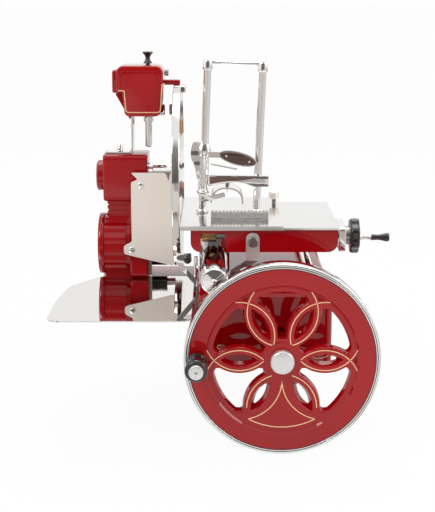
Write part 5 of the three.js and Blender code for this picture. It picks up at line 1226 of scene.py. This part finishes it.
def arcStripe(name, centre, radius, fromDegrees, toDegrees):
    # an arc about centre, drawn from one bearing to the other
    start = Vector(centre) + radius * Vector(towards(fromDegrees))
    sweep = toDegrees - fromDegrees
    heading = fromDegrees + (90 if sweep > 0 else -90)
    moves = [("arc", radius, sweep)]
    paintStripe(name, wheelPlane, start, heading, moves, wheelLook["lineWidth"], "goldPaint", "flywheel")


def bearingAt(reach):
    # bearing on a petal's line, counted from its outward axis, where it is reach away from the wheel's centre
    far, line = wheel["petalReach"] * mm, wheelLook["lineRadius"]
    return math.degrees(math.acos((reach**2 - far**2 - line**2) / (2 * far * line)))


def circleThrough(a, b, c):
    ax, ay, bx, by, cx, cy = *a, *b, *c
    d = 2 * (ax * (by - cy) + bx * (cy - ay) + cx * (ay - by))
    ux = ((ax**2 + ay**2) * (by - cy) + (bx**2 + by**2) * (cy - ay) + (cx**2 + cy**2) * (ay - by)) / d
    uy = ((ax**2 + ay**2) * (cx - bx) + (bx**2 + by**2) * (ax - cx) + (cx**2 + cy**2) * (bx - ax)) / d
    return Vector((ux, uy))


def paintWheel():
    inner = bearingAt(wheelLook["crossRadius"])
    filled = wheel["bottomPetal"]
    for i in range(wheel["petals"]):
        axis = petalStep * (i + 0.5)
        centre = wheel["petalReach"] * mm * Vector(towards(axis))
        outer = bearingAt(wheelLook["lowerTailRadius" if i == filled else "tailRadius"])
        for side, sideName in ((-1, "right"), (1, "left")):
            if i + side != filled:
                arcStripe(
                    f"petal_line_{i}_{sideName}", centre, wheelLook["lineRadius"], axis + side * outer,
                    axis + side * inner,
                )
    tip, corner = wheelLook["tip"], wheelLook["corner"]
    left = circleThrough(tip, wheelLook["waist"], corner)
    radius = (Vector(tip) - left).length
    start, end = bearing(left, tip), bearing(left, corner)
    arcStripe("sector_line_left", left, radius, start, end)
    arcStripe("sector_line_right", Vector((-left.x, left.y)), radius, 180 - start, 180 - end)
    low = bearing((0, 0), corner)
    arcStripe("sector_line_bottom", (0, 0), Vector(corner).length, low, -180 - low)


paintWheel()
print("wheel painted")

# Press beam: a fuller cast front with a dark sunk panel, over the CAD beam
beamFront = {
    "front": -49, "depth": 13, "edge": 1.6, "panelDepth": 0.8, "panelProud": 0.05,
    "outline": [
        (-101.8, 295.0, 2), (-69.9, 301.7, 11), (-45.6, 302.4, 11), (-19.3, 297.9, 8), (-14.0, 294.1, 1.5),
        (11.6, 294.1, 2), (11.6, 314.0, 2), (-101.8, 315.9, 2),
    ],
    "panel": [
        (-99.0, 298.9, 1), (-70.0, 304.4, 10), (-41.9, 305.4, 10), (-17.5, 309.6, 1), (-20.0, 312.4, 1),
        (-99.0, 313.2, 1),
    ],
}


def makeBeamFront():
    b = beamFront
    front = slabOutline(b["outline"], b["depth"], b["edge"])
    place = frontPlane((0, (b["front"] + b["depth"]) * mm, 0))
    addPiece("press_beam_bright_front", front, "castChrome", "press", place=place)
    panel = slabOutline(b["panel"], b["panelDepth"])
    place = frontPlane((0, (b["front"] + b["panelDepth"] - b["panelProud"]) * mm, 0))
    addPiece("press_beam_dark_panel", panel, "brownChrome", "press", place=place, smooth=False)


makeBeamFront()

# Sharpener: a gold line round the lower part of its face and a bead round its panel, in metres
sharpenerLine = {
    "front": -0.04, "width": 0.0017, "bend": 0.006, "smallBend": 0.003, "turn": 86,
    "start": (-0.2680, 0.4725), "shelf": 0.0085, "leftDrop": 0.032, "across": 0.0525, "rightRise": 0.0445,
    "bead": 0.0022, "beadProud": 0.0011, "beadBend": 0.005, "beadStart": (-0.2630, 0.4760), "beadUp": 0.0265,
    "beadAcross": 0.0585, "beadDown": 0.0620,
}


def makeSharpenerLine():
    line = sharpenerLine
    plane = frontPlane((0, line["front"], 0))
    outwards, inwards = ("arc", line["smallBend"], -line["turn"]), ("arc", line["bend"], line["turn"])
    paintStripe("sharpener_gold_line", plane, line["start"], 0, [
        ("line", line["shelf"]), outwards, ("line", line["leftDrop"]), inwards, ("line", line["across"]),
        inwards, ("line", line["rightRise"]), outwards, ("line", line["smallBend"]),
    ], line["width"], "goldPaint", "base")
    corner = ("arc", line["beadBend"], -90)
    paintStripe("sharpener_panel_bead", plane, line["beadStart"], 90, [
        ("line", line["beadUp"]), corner, ("line", line["beadAcross"]), corner, ("line", line["beadDown"]),
    ], line["bead"], "redEnamel", "base", line["beadProud"])


makeSharpenerLine()

# Base: plain gold scrolls on its front wall, seen through the wheel, in metres
baseLook = {
    "scrollWidth": 0.0013,
    "curl": 0.0035,
    "curlTurn": 230,
    "wave": 0.030,
    "waveTurn": 32,
    "scrolls": {
        "base_scroll_left": (-0.078, 0.0415),
        "base_scroll_inner": (-0.036, 0.0425),
        "base_scroll_right": (0.066, 0.0330),
    },
}


def makeBaseLines():
    plane = frontPlane((0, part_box("base_casting")[0].y, 0))
    curl, turn, wave, bend = (baseLook[key] for key in ("curl", "curlTurn", "wave", "waveTurn"))
    for name, start in baseLook["scrolls"].items():
        paintStripe(name, plane, start, 360 - turn, [
            ("arc", curl, turn), ("arc", wave, -bend), ("arc", wave, 2 * bend), ("arc", wave, -bend),
            ("arc", curl, -turn),
        ], baseLook["scrollWidth"], "goldPaint", "base")


makeBaseLines()

# Every CAD node that no new piece stands for is carried over with its doubles merged, its flat faces
# joined and its round faces smooth; trims are cut away from a node between two corners
dressing = {
    "weld": 0.00001,
    "flatDegrees": 0.6,
    "trims": {"base_casting": ((-420, -300, -20), (-125, 300, 33))},
}


def dressNode(name):
    bm = bmesh.new()
    bm.from_mesh(nodes[name].data)
    bmesh.ops.remove_doubles(bm, verts=bm.verts, dist=dressing["weld"])
    if name in dressing["trims"]:
        away = bmesh.new()
        roundedBox(away, *dressing["trims"][name], 0)
        bm = carve(bm, [("DIFFERENCE", away)])
        bmesh.ops.remove_doubles(bm, verts=bm.verts, dist=dressing["weld"])
    bmesh.ops.dissolve_limit(
        bm, angle_limit=math.radians(dressing["flatDegrees"]), verts=bm.verts, edges=bm.edges,
    )
    look = otherFinish.get(name, finishOfSlot[slotOfNode[name]])
    addPiece(name + ".dressed", bm, look, bodyOfNode[name], [name])


for nodeName in sorted(set(nodes) - rebuilt):
    dressNode(nodeName)
print("nodes dressed:", len(nodes) - len(rebuilt))
